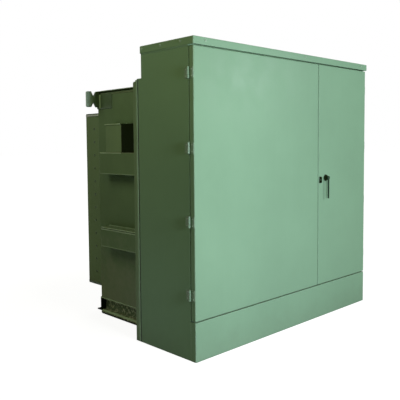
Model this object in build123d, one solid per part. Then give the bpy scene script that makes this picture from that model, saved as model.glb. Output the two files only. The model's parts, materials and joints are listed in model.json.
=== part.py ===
from build123d import *
import os

# Pad-mounted distribution transformer: a welded liquid-filled tank with cooling
# fins behind, and a front cabinet with two hinged doors over the terminals.
# Millimetres. X runs along the front from left to right, Y from the doors to
# the fins, Z up from the ground. The origin is on the ground, midway between
# the sides and midway between the handle and the back of the fins.

# Front cabinet
CABINET_WIDTH = 1840
CABINET_HEIGHT = 1830
CABINET_DEPTH = 457
SHEET = 3
BEND_RADIUS = 6
HOOD_SKIRT = 44
HOOD_OVERHANG = 8
SILL_HEIGHT = 230
JAMB_SETBACK = 40
JAMB_WIDTH = 45
HEADER_HEIGHT = 120
HEADER_FLANGE = 30
SIDE_REAR_STEP = 33
BACK_STRIP_SHELF = 46

# Doors
DOOR_SPLIT = 291
DOOR_RETURN = 34
DOOR_GAP = 6
STIFFENER_WIDTH = 90
STIFFENER_DEPTH = 24
STIFFENER_LIP = 18
STIFFENER_INSET = 260

# Door hinges
HINGE_COUNT = 4
HINGE_END_INSET = 148
HINGE_LENGTH = 62
KNUCKLE_RADIUS = 8
KNUCKLE_CLEARANCE = 1
PIN_RADIUS = 4
PIN_CLEARANCE = 0.3
PIN_HEAD_RADIUS = 6.5
PIN_HEAD_HEIGHT = 3
LEAF_THICKNESS = 3
LEAF_WIDTH = 26

# Latch handle
HANDLE_EDGE_DISTANCE = 89
HANDLE_HEIGHT = 990
ESCUTCHEON_RADIUS = 20
ESCUTCHEON_DEPTH = 14
SPINDLE_RADIUS = 7
SPINDLE_CLEARANCE = 0.5
HUB_RADIUS = 13
HUB_CLEARANCE = 5
LEVER_STAND_OFF = 21
LEVER_LENGTH = 146
LEVER_WIDTH = 12
LEVER_TIP_WIDTH = 9
LEVER_THICKNESS = 8
CAM_LENGTH = 44
CAM_WIDTH = 22
CAM_THICKNESS = 5
HASP_WIDTH = 14
HASP_HEIGHT = 44
HASP_REACH = 16
HASP_THICKNESS = 5
HASP_HOLE_RADIUS = 4
HASP_CORNER_RADIUS = 8
HASP_DISTANCE = 70
HASP_DROP = 12

# Tank
TANK_WIDTH = 1500
TANK_DEPTH = 665
TANK_TOP_DROP = 39
COVER_THICKNESS = 23
COVER_OVERHANG = 7
COVER_CROWN = 10
COVER_CLEARANCE = 2
FRONT_PLATE_THICKNESS = 10
FRONT_PLATE_TOP_DROP = 194
FRONT_FLANGE_DEPTH = 48
FRONT_FLANGE_THICKNESS = 6
FRONT_FLANGE_TOP_DROP = 12

# Side stiffeners, two welded channels on each side
UPPER_BAND_TOP_DROP = 411
UPPER_BAND_HEIGHT = 150
LOWER_BAND_BOTTOM = 526
LOWER_BAND_HEIGHT = 138
BAND_DEPTH = 75
BAND_THICKNESS = 6
BAND_REAR_SETBACK = 120

# Base
BASE_HEIGHT = 125
BASE_CHANNEL_DEPTH = 50
BASE_THICKNESS = 8
RUNNER_HEIGHT = 32
RUNNER_EDGE_RADIUS = 15
HOLD_DOWN_LEG = 50
HOLD_DOWN_RAISE = 25
HOLD_DOWN_HOLE_RADIUS = 11
HOLD_DOWN_SPACING = 1200
CROSS_MEMBER_WIDTH = 80
CROSS_MEMBER_SPACING = 300

# Cooling fins
FIN_PITCH = 50
FIN_THICKNESS = 14
FIN_DEPTH = 260
FIN_BOTTOM = 180
FIN_TOP_DROP = 125
FIN_SIDE_INSET = 67
FIN_STRIP_INSET = 7
FIN_STRIP_HEIGHT = 15
FIN_STRIP_PROUD = 3
FIN_BANKS = ("left", "centre", "right")

# Lifting lugs
LUG_REACH = 114
LUG_HEIGHT = 110
LUG_THICKNESS = 18
LUG_HORN = 34
LUG_NOTCH_WIDTH = 44
LUG_NOTCH_DEPTH = 38
LUG_NOTCH_RADIUS = 4
LUG_CORNER_RADIUS = 11
LUG_TOP_DROP = 5
LUG_PAD_WIDTH = 170
LUG_PAD_HEIGHT = 100
LUG_PAD_THICKNESS = 6
LUG_REAR_SETBACK = 28
LUG_FRONT_SETBACK = 80

# Junction box on the left side of the tank
JUNCTION_FRONT_SETBACK = 293
JUNCTION_LENGTH = 178
JUNCTION_HEIGHT = 193
JUNCTION_LID_THICKNESS = 4
JUNCTION_BLACK_LENGTH = 160

# Terminal equipment on the tank's front plate
HV_BUSHING_COUNT = 3
HV_BUSHING_PITCH = 220
HV_BUSHING_DROP = 616
HV_FLANGE_RADIUS = 62
HV_FLANGE_THICKNESS = 16
HV_BODY_RADIUS = 44
HV_BODY_LENGTH = 60
HV_TIP_RADIUS = 26
HV_BUSHING_REACH = 190
FUSE_PITCH = 130
FUSE_DROP = 266
FUSE_RADIUS = 27
FUSE_REACH = 150
FUSE_CAP_RADIUS = 36
FUSE_CAP_LENGTH = 36
LV_BUSHING_COUNT = 4
LV_BUSHING_PITCH = 140
LV_BUSHING_DROP = 386
LV_BUSHING_RADIUS = 45
LV_BUSHING_REACH = 70
LV_BUSHING_BODY_LENGTH = 49
LV_BUSHING_TIP_RADIUS = 27
SPADE_WIDTH = 76
SPADE_THICKNESS = 12
SPADE_LENGTH = 130
SPADE_HOLE_RADIUS = 7
SPADE_HOLE_PITCH = 44
GAUGE_COUNT = 3
GAUGE_PITCH = 150
GAUGE_HEIGHT = 860
GAUGE_RADIUS = 52
GAUGE_REACH = 60
GAUGE_NECK_RADIUS = 23
GAUGE_NECK_LENGTH = 24
TAP_CHANGER_DROP = 260
TAP_CHANGER_RADIUS = 40
TAP_CHANGER_DISC = 35
TAP_GRIP_WIDTH = 16
TAP_GRIP_DEPTH = 35
DRAIN_HEIGHT = 300
DRAIN_RADIUS = 24
DRAIN_REACH = 110
DRAIN_FLANGE_RADIUS = 38
DRAIN_FLANGE_THICKNESS = 9
DRAIN_STEM_REACH = 66
DRAIN_STEM_RADIUS = 12
DRAIN_STEM_HEIGHT = 72
DRAIN_WHEEL_RADIUS = 34
DRAIN_WHEEL_THICKNESS = 12
BARRIER_THICKNESS = 4
BARRIER_FRONT_GAP = 26
BARRIER_TOP_DROP = 60

# Places that follow from the sizes above
HANDLE_REACH = LEVER_STAND_OFF + LEVER_THICKNESS
PLATE_DISTANCE = CABINET_DEPTH + SIDE_REAR_STEP
REAR_DISTANCE = PLATE_DISTANCE + FRONT_PLATE_THICKNESS + TANK_DEPTH + FIN_DEPTH
DOOR_FACE = (HANDLE_REACH - REAR_DISTANCE) / 2
SIDE_FACE = CABINET_WIDTH / 2
JAMB_FACE = DOOR_FACE + JAMB_SETBACK
CABINET_BACK = DOOR_FACE + CABINET_DEPTH
PLATE_FACE = DOOR_FACE + PLATE_DISTANCE
TANK_FRONT = PLATE_FACE + FRONT_PLATE_THICKNESS
TANK_REAR = TANK_FRONT + TANK_DEPTH
TANK_SIDE = TANK_WIDTH / 2
FIN_REAR = TANK_REAR + FIN_DEPTH
HOOD_UNDERSIDE = CABINET_HEIGHT - SHEET
FRONT_PLATE_TOP = CABINET_HEIGHT - FRONT_PLATE_TOP_DROP
TANK_TOP = FRONT_PLATE_TOP - TANK_TOP_DROP
FIN_TOP = TANK_TOP - FIN_TOP_DROP
UPPER_BAND_TOP = TANK_TOP - UPPER_BAND_TOP_DROP
STIFFENER_BANDS = {
    "upper": (UPPER_BAND_TOP - UPPER_BAND_HEIGHT, UPPER_BAND_TOP),
    "lower": (LOWER_BAND_BOTTOM, LOWER_BAND_BOTTOM + LOWER_BAND_HEIGHT),
}
HV_BUSHING_HEIGHT = FRONT_PLATE_TOP - HV_BUSHING_DROP
TAP_CHANGER_HEIGHT = HV_BUSHING_HEIGHT - TAP_CHANGER_DROP
FUSE_HEIGHT = FRONT_PLATE_TOP - FUSE_DROP
LV_BUSHING_HEIGHT = FRONT_PLATE_TOP - LV_BUSHING_DROP
SKIRT_BOTTOM = CABINET_HEIGHT - HOOD_SKIRT
DOOR_BOTTOM = SILL_HEIGHT + DOOR_GAP / 2
DOOR_TOP = SKIRT_BOTTOM - DOOR_GAP
SILL_TOP = SILL_HEIGHT - DOOR_GAP / 2
HINGE_X = SIDE_FACE + KNUCKLE_RADIUS + KNUCKLE_CLEARANCE
HINGE_Y = DOOR_FACE + (DOOR_RETURN + JAMB_SETBACK) / 2
HANDLE_X = DOOR_SPLIT + HANDLE_EDGE_DISTANCE


def block(low, high):
    """Box between two opposite corners."""
    size = [b - a for a, b in zip(low, high)]
    middle = [(a + b) / 2 for a, b in zip(low, high)]
    return Pos(*middle) * Box(*size)


def mirrored(solid):
    """The same piece on the other side of the transformer."""
    return mirror(solid, about=Plane.YZ)


def round_bar(radius, start, length, direction):
    """Round bar from a start point along a direction."""
    return extrude(Plane(start, z_dir=direction) * Circle(radius), length)


def turned(profile, x, y, z):
    """Turned piece whose profile is (distance out from the face, radius)."""
    outline = [(0, 0)] + [(radius, out) for out, radius in profile] + [(0, profile[-1][0])]
    face = make_face(Polyline(*outline, close=True))
    return Plane((x, y, z), x_dir=(1, 0, 0), z_dir=(0, -1, 0)) * revolve(Plane.XZ * face, Axis.Z)


# Hood, sill, sides and rails of the cabinet
def hood():
    """Flat lid folded down on four sides, open below."""
    half = SIDE_FACE + HOOD_OVERHANG
    body = block(
        (-half, DOOR_FACE - HOOD_OVERHANG, SKIRT_BOTTOM),
        (half, CABINET_BACK + SHEET, CABINET_HEIGHT),
    )
    top_edges = body.faces().sort_by(Axis.Z)[-1].edges()
    body = fillet(body.edges().filter_by(Axis.Z) + top_edges, BEND_RADIUS)
    return offset(body, -SHEET, openings=body.faces().sort_by(Axis.Z)[0])


def sill():
    """Fixed strip under the doors, folded round both corners."""
    body = block((-SIDE_FACE, DOOR_FACE, 0), (SIDE_FACE, JAMB_FACE, SILL_TOP))
    front_edges = body.faces().sort_by(Axis.Y)[0].edges().filter_by(Axis.Z)
    body = fillet(front_edges, BEND_RADIUS)
    hollow = block(
        (-SIDE_FACE + SHEET, DOOR_FACE + SHEET, 0),
        (SIDE_FACE - SHEET, JAMB_FACE, SILL_TOP - SHEET),
    )
    return body - hollow


def cabinet_side_left():
    """Side sheet with its front edge folded in as a door jamb."""
    section = make_face(Polyline(
        (-SIDE_FACE + JAMB_WIDTH, JAMB_FACE),
        (-SIDE_FACE, JAMB_FACE),
        (-SIDE_FACE, PLATE_FACE),
        (-SIDE_FACE + SHEET, PLATE_FACE),
        (-SIDE_FACE + SHEET, JAMB_FACE + SHEET),
        (-SIDE_FACE + JAMB_WIDTH, JAMB_FACE + SHEET),
        close=True,
    ))
    body = extrude(section, HOOD_UNDERSIDE - BEND_RADIUS)
    step = block(
        (-SIDE_FACE, CABINET_BACK, FRONT_PLATE_TOP + SHEET),
        (-SIDE_FACE + SHEET, PLATE_FACE, HOOD_UNDERSIDE),
    )
    return body - step


def header_rail():
    """Channel across the top of the doorway, between the jambs."""
    low = HOOD_UNDERSIDE - HEADER_HEIGHT
    section = Plane.YZ * make_face(Polyline(
        (JAMB_FACE, low),
        (JAMB_FACE + HEADER_FLANGE, low),
        (JAMB_FACE + HEADER_FLANGE, low + SHEET),
        (JAMB_FACE + SHEET, low + SHEET),
        (JAMB_FACE + SHEET, HOOD_UNDERSIDE - SHEET),
        (JAMB_FACE + HEADER_FLANGE, HOOD_UNDERSIDE - SHEET),
        (JAMB_FACE + HEADER_FLANGE, HOOD_UNDERSIDE),
        (JAMB_FACE, HOOD_UNDERSIDE),
        close=True,
    ))
    return extrude(section, SIDE_FACE - JAMB_WIDTH, both=True)


def back_strip():
    """Sheet that closes the cabinet above the tank, with a shelf over the front plate."""
    section = Plane.YZ * make_face(Polyline(
        (CABINET_BACK - SHEET, FRONT_PLATE_TOP),
        (CABINET_BACK + BACK_STRIP_SHELF, FRONT_PLATE_TOP),
        (CABINET_BACK + BACK_STRIP_SHELF, FRONT_PLATE_TOP + SHEET),
        (CABINET_BACK, FRONT_PLATE_TOP + SHEET),
        (CABINET_BACK, HOOD_UNDERSIDE - BEND_RADIUS),
        (CABINET_BACK - SHEET, HOOD_UNDERSIDE - BEND_RADIUS),
        close=True,
    ))
    return extrude(section, SIDE_FACE - SHEET, both=True)


def compartment_barrier():
    """Upright sheet between the two terminal compartments."""
    return block(
        (DOOR_SPLIT - BARRIER_THICKNESS / 2, JAMB_FACE + BARRIER_FRONT_GAP, SILL_TOP),
        (DOOR_SPLIT + BARRIER_THICKNESS / 2, PLATE_FACE, FRONT_PLATE_TOP - BARRIER_TOP_DROP),
    )


# Doors
def door(left, right):
    """Door skin with all four edges folded back."""
    body = block((left, DOOR_FACE, DOOR_BOTTOM), (right, DOOR_FACE + DOOR_RETURN, DOOR_TOP))
    front = body.faces().sort_by(Axis.Y)[0].edges()
    corners = body.edges().filter_by(Axis.Y)
    body = fillet(front + corners, BEND_RADIUS)
    return offset(body, -SHEET, openings=body.faces().sort_by(Axis.Y)[-1])


def door_stiffener(x):
    """Upright hat section welded inside a door."""
    back = DOOR_FACE + SHEET
    crown = back + STIFFENER_DEPTH
    half = STIFFENER_WIDTH / 2
    section = make_face(Polyline(
        (x - half, back),
        (x - half, back + SHEET),
        (x - half + STIFFENER_LIP, back + SHEET),
        (x - half + STIFFENER_LIP, crown),
        (x + half - STIFFENER_LIP, crown),
        (x + half - STIFFENER_LIP, back + SHEET),
        (x + half, back + SHEET),
        (x + half, back),
        (x + half - STIFFENER_LIP - SHEET, back),
        (x + half - STIFFENER_LIP - SHEET, crown - SHEET),
        (x - half + STIFFENER_LIP + SHEET, crown - SHEET),
        (x - half + STIFFENER_LIP + SHEET, back),
        close=True,
    ))
    low = DOOR_BOTTOM + BEND_RADIUS
    return Pos(0, 0, low) * extrude(section, DOOR_TOP - BEND_RADIUS - low)


LEFT_DOOR_EDGE = DOOR_SPLIT - DOOR_GAP / 2
RIGHT_DOOR_EDGE = DOOR_SPLIT + DOOR_GAP / 2


def left_door():
    """Wide door over the high-voltage terminals."""
    return door(-SIDE_FACE, LEFT_DOOR_EDGE)


def right_door():
    """Narrow door with the latch, drilled for the handle's spindle."""
    hole = round_bar(
        SPINDLE_RADIUS + SPINDLE_CLEARANCE, (HANDLE_X, DOOR_FACE - 1, HANDLE_HEIGHT), SHEET + 2, (0, 1, 0)
    )
    return door(RIGHT_DOOR_EDGE, SIDE_FACE) - hole


def left_door_stiffeners():
    """Two hat sections in the wide door."""
    return [door_stiffener(-SIDE_FACE + STIFFENER_INSET), door_stiffener(LEFT_DOOR_EDGE - STIFFENER_INSET)]


def right_door_stiffener():
    """One hat section in the narrow door."""
    return door_stiffener((RIGHT_DOOR_EDGE + SIDE_FACE) / 2)


# Hinges, built at the left side and mirrored to the right
def hinge_heights():
    """Middle height of each hinge, evenly spaced up the door."""
    first = DOOR_BOTTOM + HINGE_END_INSET
    pitch = (DOOR_TOP - HINGE_END_INSET - first) / (HINGE_COUNT - 1)
    return [first + i * pitch for i in range(HINGE_COUNT)]


def knuckle(low, high, bore):
    """One barrel section of a hinge on the left side."""
    barrel = round_bar(KNUCKLE_RADIUS, (-HINGE_X, HINGE_Y, low), high - low, (0, 0, 1))
    return barrel - round_bar(bore, (-HINGE_X, HINGE_Y, low), high - low, (0, 0, 1))


def leaf(low, high, towards_front):
    """Flat hinge leaf lying on the side, running into its knuckles."""
    inner = HINGE_Y
    outer = HINGE_Y + (-1 if towards_front else 1) * (KNUCKLE_RADIUS + LEAF_WIDTH)
    near, far = sorted((inner, outer))
    plate = block((-SIDE_FACE - LEAF_THICKNESS, near, low), (-SIDE_FACE, far, high))
    corner_edges = plate.faces().sort_by(Axis.Y)[0 if towards_front else -1].edges().filter_by(Axis.X)
    return fillet(corner_edges, BEND_RADIUS)


def hinge_leaf_set(towards_front):
    """Leaves of one hinge side with their share of the knuckles."""
    solids = []
    third = HINGE_LENGTH / 3
    for middle in hinge_heights():
        low = middle - HINGE_LENGTH / 2
        bore = PIN_RADIUS + PIN_CLEARANCE
        plate = leaf(low, low + HINGE_LENGTH, towards_front)
        own = [(1, 2)] if towards_front else [(0, 1), (2, 3)]
        other = [(0, 1), (2, 3)] if towards_front else [(1, 2)]
        for a, b in other:
            plate -= round_bar(
                KNUCKLE_RADIUS + KNUCKLE_CLEARANCE,
                (-HINGE_X, HINGE_Y, low + a * third - KNUCKLE_CLEARANCE / 2),
                (b - a) * third + KNUCKLE_CLEARANCE,
                (0, 0, 1),
            )
        for a, b in own:
            bottom = low + a * third + (KNUCKLE_CLEARANCE / 2 if a else 0)
            top = low + b * third - (KNUCKLE_CLEARANCE / 2 if b < 3 else 0)
            plate += knuckle(bottom, top, bore)
        plate -= round_bar(bore, (-HINGE_X, HINGE_Y, low), HINGE_LENGTH, (0, 0, 1))
        solids.append(plate)
    return solids


def hinge_pins():
    """Pins through the knuckles, each hanging by its head."""
    pins = []
    for middle in hinge_heights():
        top = middle + HINGE_LENGTH / 2
        shank = round_bar(PIN_RADIUS, (-HINGE_X, HINGE_Y, top - HINGE_LENGTH), HINGE_LENGTH, (0, 0, 1))
        head = round_bar(PIN_HEAD_RADIUS, (-HINGE_X, HINGE_Y, top), PIN_HEAD_HEIGHT, (0, 0, 1))
        pins.append(shank + head)
    return pins


# Latch
def handle_escutcheon():
    """Round boss that the spindle comes through."""
    body = round_bar(
        ESCUTCHEON_RADIUS, (HANDLE_X, DOOR_FACE, HANDLE_HEIGHT), ESCUTCHEON_DEPTH, (0, -1, 0)
    )
    body = chamfer(body.faces().sort_by(Axis.Y)[0].edges(), ESCUTCHEON_DEPTH / 3)
    hole = round_bar(
        SPINDLE_RADIUS + SPINDLE_CLEARANCE,
        (HANDLE_X, DOOR_FACE, HANDLE_HEIGHT), ESCUTCHEON_DEPTH, (0, -1, 0),
    )
    return body - hole


def padlock_hasp():
    """Drilled upright tab beside the boss, for a padlock."""
    x = HANDLE_X - HASP_DISTANCE
    middle = HANDLE_HEIGHT - HASP_DROP
    low = middle - HASP_HEIGHT / 2
    high = middle + HASP_HEIGHT / 2
    base = block((x - HASP_WIDTH / 2, DOOR_FACE - SHEET, low), (x + HASP_WIDTH / 2, DOOR_FACE, high))
    tab = block(
        (x - HASP_THICKNESS / 2, DOOR_FACE - HASP_REACH, low),
        (x + HASP_THICKNESS / 2, DOOR_FACE, high),
    )
    tab = fillet(tab.faces().sort_by(Axis.Y)[0].edges().filter_by(Axis.X), HASP_CORNER_RADIUS)
    eye_y = DOOR_FACE - HASP_REACH + HASP_CORNER_RADIUS
    eye = round_bar(
        HASP_HOLE_RADIUS, (x - HASP_THICKNESS / 2, eye_y, middle), HASP_THICKNESS, (1, 0, 0)
    )
    return base + tab - eye


def handle_lever():
    """Spindle through the door with the hanging lever outside and the cam inside."""
    front = DOOR_FACE - HANDLE_REACH
    spindle_back = DOOR_FACE + SHEET + HUB_CLEARANCE + CAM_THICKNESS
    spindle = round_bar(
        SPINDLE_RADIUS, (HANDLE_X, front + LEVER_THICKNESS / 2, HANDLE_HEIGHT),
        spindle_back - front - LEVER_THICKNESS / 2, (0, 1, 0),
    )
    hub_back = DOOR_FACE - ESCUTCHEON_DEPTH - HUB_CLEARANCE
    hub = round_bar(HUB_RADIUS, (HANDLE_X, front, HANDLE_HEIGHT), hub_back - front, (0, 1, 0))
    hub = fillet(hub.faces().sort_by(Axis.Y)[0].edges(), LEVER_THICKNESS / 4)
    face = Plane((HANDLE_X, front, HANDLE_HEIGHT), x_dir=(1, 0, 0), z_dir=(0, -1, 0))
    tip = LEVER_LENGTH - LEVER_TIP_WIDTH / 2
    arm = make_hull([
        *(Circle(LEVER_WIDTH / 2)).edges(),
        *(Pos(0, -tip) * Circle(LEVER_TIP_WIDTH / 2)).edges(),
    ])
    lever = extrude(face * arm, -LEVER_THICKNESS)
    cam_face = Plane((HANDLE_X, spindle_back, HANDLE_HEIGHT), x_dir=(1, 0, 0), z_dir=(0, 1, 0))
    cam = extrude(cam_face * SlotOverall(CAM_LENGTH, CAM_WIDTH), -CAM_THICKNESS)
    return spindle + hub + lever + cam


# Tank
def tank():
    """Closed tank body, full of core, coils and liquid."""
    body = block((-TANK_SIDE, TANK_FRONT, BASE_HEIGHT), (TANK_SIDE, TANK_REAR, TANK_TOP))
    rear_edges = body.faces().sort_by(Axis.Y)[-1].edges().filter_by(Axis.Z)
    return fillet(rear_edges, BEND_RADIUS)


def tank_cover():
    """Cover plate, a little crowned so that rain runs off."""
    half = TANK_SIDE + COVER_OVERHANG
    rear = TANK_REAR + COVER_OVERHANG
    rim = Pos(0, (TANK_FRONT + rear) / 2, TANK_TOP) * Rectangle(2 * half, rear - TANK_FRONT)
    edge = extrude(rim, COVER_THICKNESS)
    crown = extrude(
        Pos(0, (TANK_FRONT + rear) / 2, TANK_TOP + COVER_THICKNESS)
        * Rectangle(2 * half, rear - TANK_FRONT),
        COVER_CROWN, taper=80,
    )
    return edge + crown


def front_plate():
    """Tank wall that the terminals sit on, with side flanges folded back."""
    plate = block((-SIDE_FACE, PLATE_FACE, 0), (SIDE_FACE, TANK_FRONT, FRONT_PLATE_TOP))
    flange = block(
        (-SIDE_FACE, TANK_FRONT, 0),
        (-SIDE_FACE + FRONT_FLANGE_THICKNESS, PLATE_FACE + FRONT_FLANGE_DEPTH, FRONT_PLATE_TOP - FRONT_FLANGE_TOP_DROP),
    )
    corner = flange.faces().sort_by(Axis.Y)[-1].edges().filter_by(Axis.X).sort_by(Axis.Z)[-1]
    flange = fillet(corner, BEND_RADIUS * 2)
    return plate + flange + mirrored(flange)


def side_stiffener_left(low, high):
    """Horizontal channel welded to the tank side, closed at its rear end."""
    rear = TANK_REAR - BAND_REAR_SETBACK
    outer = -TANK_SIDE - BAND_DEPTH
    body = block((outer, TANK_FRONT, low), (-TANK_SIDE, rear, high))
    outer_face = body.faces().sort_by(Axis.X)[0]
    body = fillet(outer_face.edges().filter_by(Axis.Y), BEND_RADIUS)
    hollow = block(
        (outer + BAND_THICKNESS, TANK_FRONT, low + BAND_THICKNESS),
        (-TANK_SIDE, rear - BAND_THICKNESS, high - BAND_THICKNESS),
    )
    return body - hollow


def base_channel_left():
    """Channel under the tank side, open outwards, on a round-edged runner."""
    back = -TANK_SIDE + BASE_CHANNEL_DEPTH
    web = back - BASE_THICKNESS
    runner = block((-TANK_SIDE, TANK_FRONT, 0), (back, TANK_REAR, RUNNER_HEIGHT))
    runner = fillet(runner.faces().sort_by(Axis.X)[0].edges().filter_by(Axis.Y), RUNNER_EDGE_RADIUS)
    upright = block((web, TANK_FRONT, RUNNER_HEIGHT), (back, TANK_REAR, BASE_HEIGHT))
    top = block(
        (-TANK_SIDE, TANK_FRONT, BASE_HEIGHT - BASE_THICKNESS), (web, TANK_REAR, BASE_HEIGHT)
    )
    return runner + upright + top


def base_cross_members():
    """Box members between the channels, under the tank."""
    half = TANK_SIDE - BASE_CHANNEL_DEPTH
    fronts = (TANK_FRONT, TANK_FRONT + CROSS_MEMBER_SPACING)
    return [
        block((-half, front, 0), (half, front + CROSS_MEMBER_WIDTH, BASE_HEIGHT))
        for front in fronts
    ]


def rear_hold_down_angle():
    """Angle across the back of the base, with a drilled foot."""
    foot = HOLD_DOWN_RAISE
    section = Plane.YZ * make_face(Polyline(
        (TANK_REAR, foot),
        (TANK_REAR + HOLD_DOWN_LEG, foot),
        (TANK_REAR + HOLD_DOWN_LEG, foot + BASE_THICKNESS),
        (TANK_REAR + BASE_THICKNESS, foot + BASE_THICKNESS),
        (TANK_REAR + BASE_THICKNESS, BASE_HEIGHT),
        (TANK_REAR, BASE_HEIGHT),
        close=True,
    ))
    body = extrude(section, TANK_SIDE, both=True)
    hole_y = TANK_REAR + (BASE_THICKNESS + HOLD_DOWN_LEG) / 2
    for side in (-1, 1):
        body -= round_bar(
            HOLD_DOWN_HOLE_RADIUS, (side * HOLD_DOWN_SPACING / 2, hole_y, foot), BASE_THICKNESS, (0, 0, 1)
        )
    return body


# Cooling fins
def fin_positions():
    """Middle of each fin along the back of the tank."""
    span = TANK_WIDTH - 2 * FIN_SIDE_INSET
    count = int(span // FIN_PITCH) + 1
    return [(i - (count - 1) / 2) * FIN_PITCH for i in range(count)]


def fin(x):
    """Flat hollow fin with a rounded back edge and pressed strips at its ends."""
    half = FIN_THICKNESS / 2
    section = Pos(x, TANK_REAR + (FIN_DEPTH - half) / 2) * Rectangle(FIN_THICKNESS, FIN_DEPTH - half)
    section += Pos(x, FIN_REAR - half) * Circle(half)
    body = Pos(0, 0, FIN_BOTTOM) * extrude(section, FIN_TOP - FIN_BOTTOM)
    for low in (FIN_BOTTOM + FIN_STRIP_INSET, FIN_TOP - FIN_STRIP_INSET - FIN_STRIP_HEIGHT):
        body += block(
            (x - half - FIN_STRIP_PROUD, TANK_REAR, low),
            (x + half + FIN_STRIP_PROUD, FIN_REAR - half, low + FIN_STRIP_HEIGHT),
        )
    return body


def fin_bank(index):
    """A third of the fins."""
    places = fin_positions()
    share = len(places) / len(FIN_BANKS)
    chosen = places[round(index * share):round((index + 1) * share)]
    return [fin(x) for x in chosen]


# Lifting lugs
def lifting_lug_left(y):
    """Plate lug with a V notch above and below, for a sling round its waist."""
    top = TANK_TOP + COVER_THICKNESS - LUG_TOP_DROP
    bottom = top - LUG_HEIGHT
    root = -TANK_SIDE - LUG_PAD_THICKNESS
    tip = -TANK_SIDE - LUG_REACH
    notch_outer = tip + LUG_HORN
    notch_inner = notch_outer + LUG_NOTCH_WIDTH
    notch = (notch_outer + notch_inner) / 2
    outline = make_face(Polyline(
        (root, top),
        (notch_inner, top),
        (notch, top - LUG_NOTCH_DEPTH),
        (notch_outer, top),
        (tip, top),
        (tip, bottom),
        (notch_outer, bottom),
        (notch, bottom + LUG_NOTCH_DEPTH),
        (notch_inner, bottom),
        (root, bottom),
        close=True,
    ))
    outline = fillet(outline.vertices().group_by(Axis.X)[0], LUG_CORNER_RADIUS)
    throats = [v for v in outline.vertices() if abs(v.X - notch) < LUG_NOTCH_RADIUS]
    outline = fillet(throats, LUG_NOTCH_RADIUS)
    plate = extrude(Plane.XZ * outline, LUG_THICKNESS / 2, both=True)
    cope = block(
        (root - COVER_CLEARANCE - COVER_OVERHANG, -LUG_THICKNESS, TANK_TOP - COVER_CLEARANCE),
        (root, LUG_THICKNESS, top),
    )
    return Pos(0, y, 0) * (plate - cope)


def lug_pad_left(low_y):
    """Doubling pad that spreads the lug's load on the tank side."""
    return block(
        (-TANK_SIDE - LUG_PAD_THICKNESS, low_y, TANK_TOP - LUG_PAD_HEIGHT),
        (-TANK_SIDE, low_y + LUG_PAD_WIDTH, TANK_TOP),
    )


def lug_set_left():
    """Rear and front lifting lugs of the left side, each fused to its pad."""
    rear = lifting_lug_left(TANK_REAR - LUG_REAR_SETBACK) + lug_pad_left(TANK_REAR - LUG_PAD_WIDTH)
    front = lifting_lug_left(TANK_FRONT + LUG_FRONT_SETBACK) + lug_pad_left(TANK_FRONT)
    return rear, front


# Junction box
JUNCTION_TOP = UPPER_BAND_TOP + JUNCTION_HEIGHT
JUNCTION_FRONT = TANK_FRONT + JUNCTION_FRONT_SETBACK


def junction_box():
    """Sheet box standing on the upper stiffener."""
    outer = -TANK_SIDE - BAND_DEPTH
    body = block(
        (outer, JUNCTION_FRONT, UPPER_BAND_TOP),
        (-TANK_SIDE, JUNCTION_FRONT + JUNCTION_LENGTH, JUNCTION_TOP - JUNCTION_LID_THICKNESS),
    )
    rear_edges = body.faces().sort_by(Axis.Y)[-1].edges().filter_by(Axis.Z)
    return fillet(rear_edges.sort_by(Axis.X)[0], BEND_RADIUS)


def junction_box_lid():
    """Flat lid that laps a little over the box."""
    outer = -TANK_SIDE - BAND_DEPTH - JUNCTION_LID_THICKNESS
    return block(
        (outer, JUNCTION_FRONT, JUNCTION_TOP - JUNCTION_LID_THICKNESS),
        (-TANK_SIDE, JUNCTION_FRONT + JUNCTION_LENGTH + JUNCTION_LID_THICKNESS, JUNCTION_TOP),
    )


def junction_box_front_section():
    """Black housing that carries the box on towards the front."""
    body = block(
        (-TANK_SIDE - BAND_DEPTH, JUNCTION_FRONT - JUNCTION_BLACK_LENGTH, UPPER_BAND_TOP),
        (-TANK_SIDE, JUNCTION_FRONT, JUNCTION_TOP - JUNCTION_LID_THICKNESS),
    )
    front_edges = body.faces().sort_by(Axis.Y)[0].edges().filter_by(Axis.Z)
    return fillet(front_edges.sort_by(Axis.X)[0], BEND_RADIUS)


# Terminal equipment
LEFT_BAY_MIDDLE = (-SIDE_FACE + DOOR_SPLIT) / 2
RIGHT_BAY_MIDDLE = (SIDE_FACE + DOOR_SPLIT) / 2


def row(count, pitch, middle):
    """Evenly spaced places about a middle."""
    return [middle + (i - (count - 1) / 2) * pitch for i in range(count)]


def hv_bushings():
    """High-voltage bushings: a clamping flange and a tapered body."""
    profile = [
        (0, HV_FLANGE_RADIUS),
        (HV_FLANGE_THICKNESS, HV_FLANGE_RADIUS),
        (HV_FLANGE_THICKNESS, HV_BODY_RADIUS),
        (HV_FLANGE_THICKNESS + HV_BODY_LENGTH, HV_BODY_RADIUS),
        (HV_BUSHING_REACH, HV_TIP_RADIUS),
    ]
    return [
        turned(profile, x, PLATE_FACE, HV_BUSHING_HEIGHT)
        for x in row(HV_BUSHING_COUNT, HV_BUSHING_PITCH, LEFT_BAY_MIDDLE)
    ]


def fuse_holders():
    """Draw-out fuse holders above the high-voltage bushings."""
    profile = [
        (0, FUSE_RADIUS),
        (FUSE_REACH - FUSE_CAP_LENGTH, FUSE_RADIUS),
        (FUSE_REACH - FUSE_CAP_LENGTH, FUSE_CAP_RADIUS),
        (FUSE_REACH, FUSE_CAP_RADIUS),
    ]
    return [
        turned(profile, x, PLATE_FACE, FUSE_HEIGHT)
        for x in row(HV_BUSHING_COUNT, FUSE_PITCH, LEFT_BAY_MIDDLE)
    ]


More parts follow.
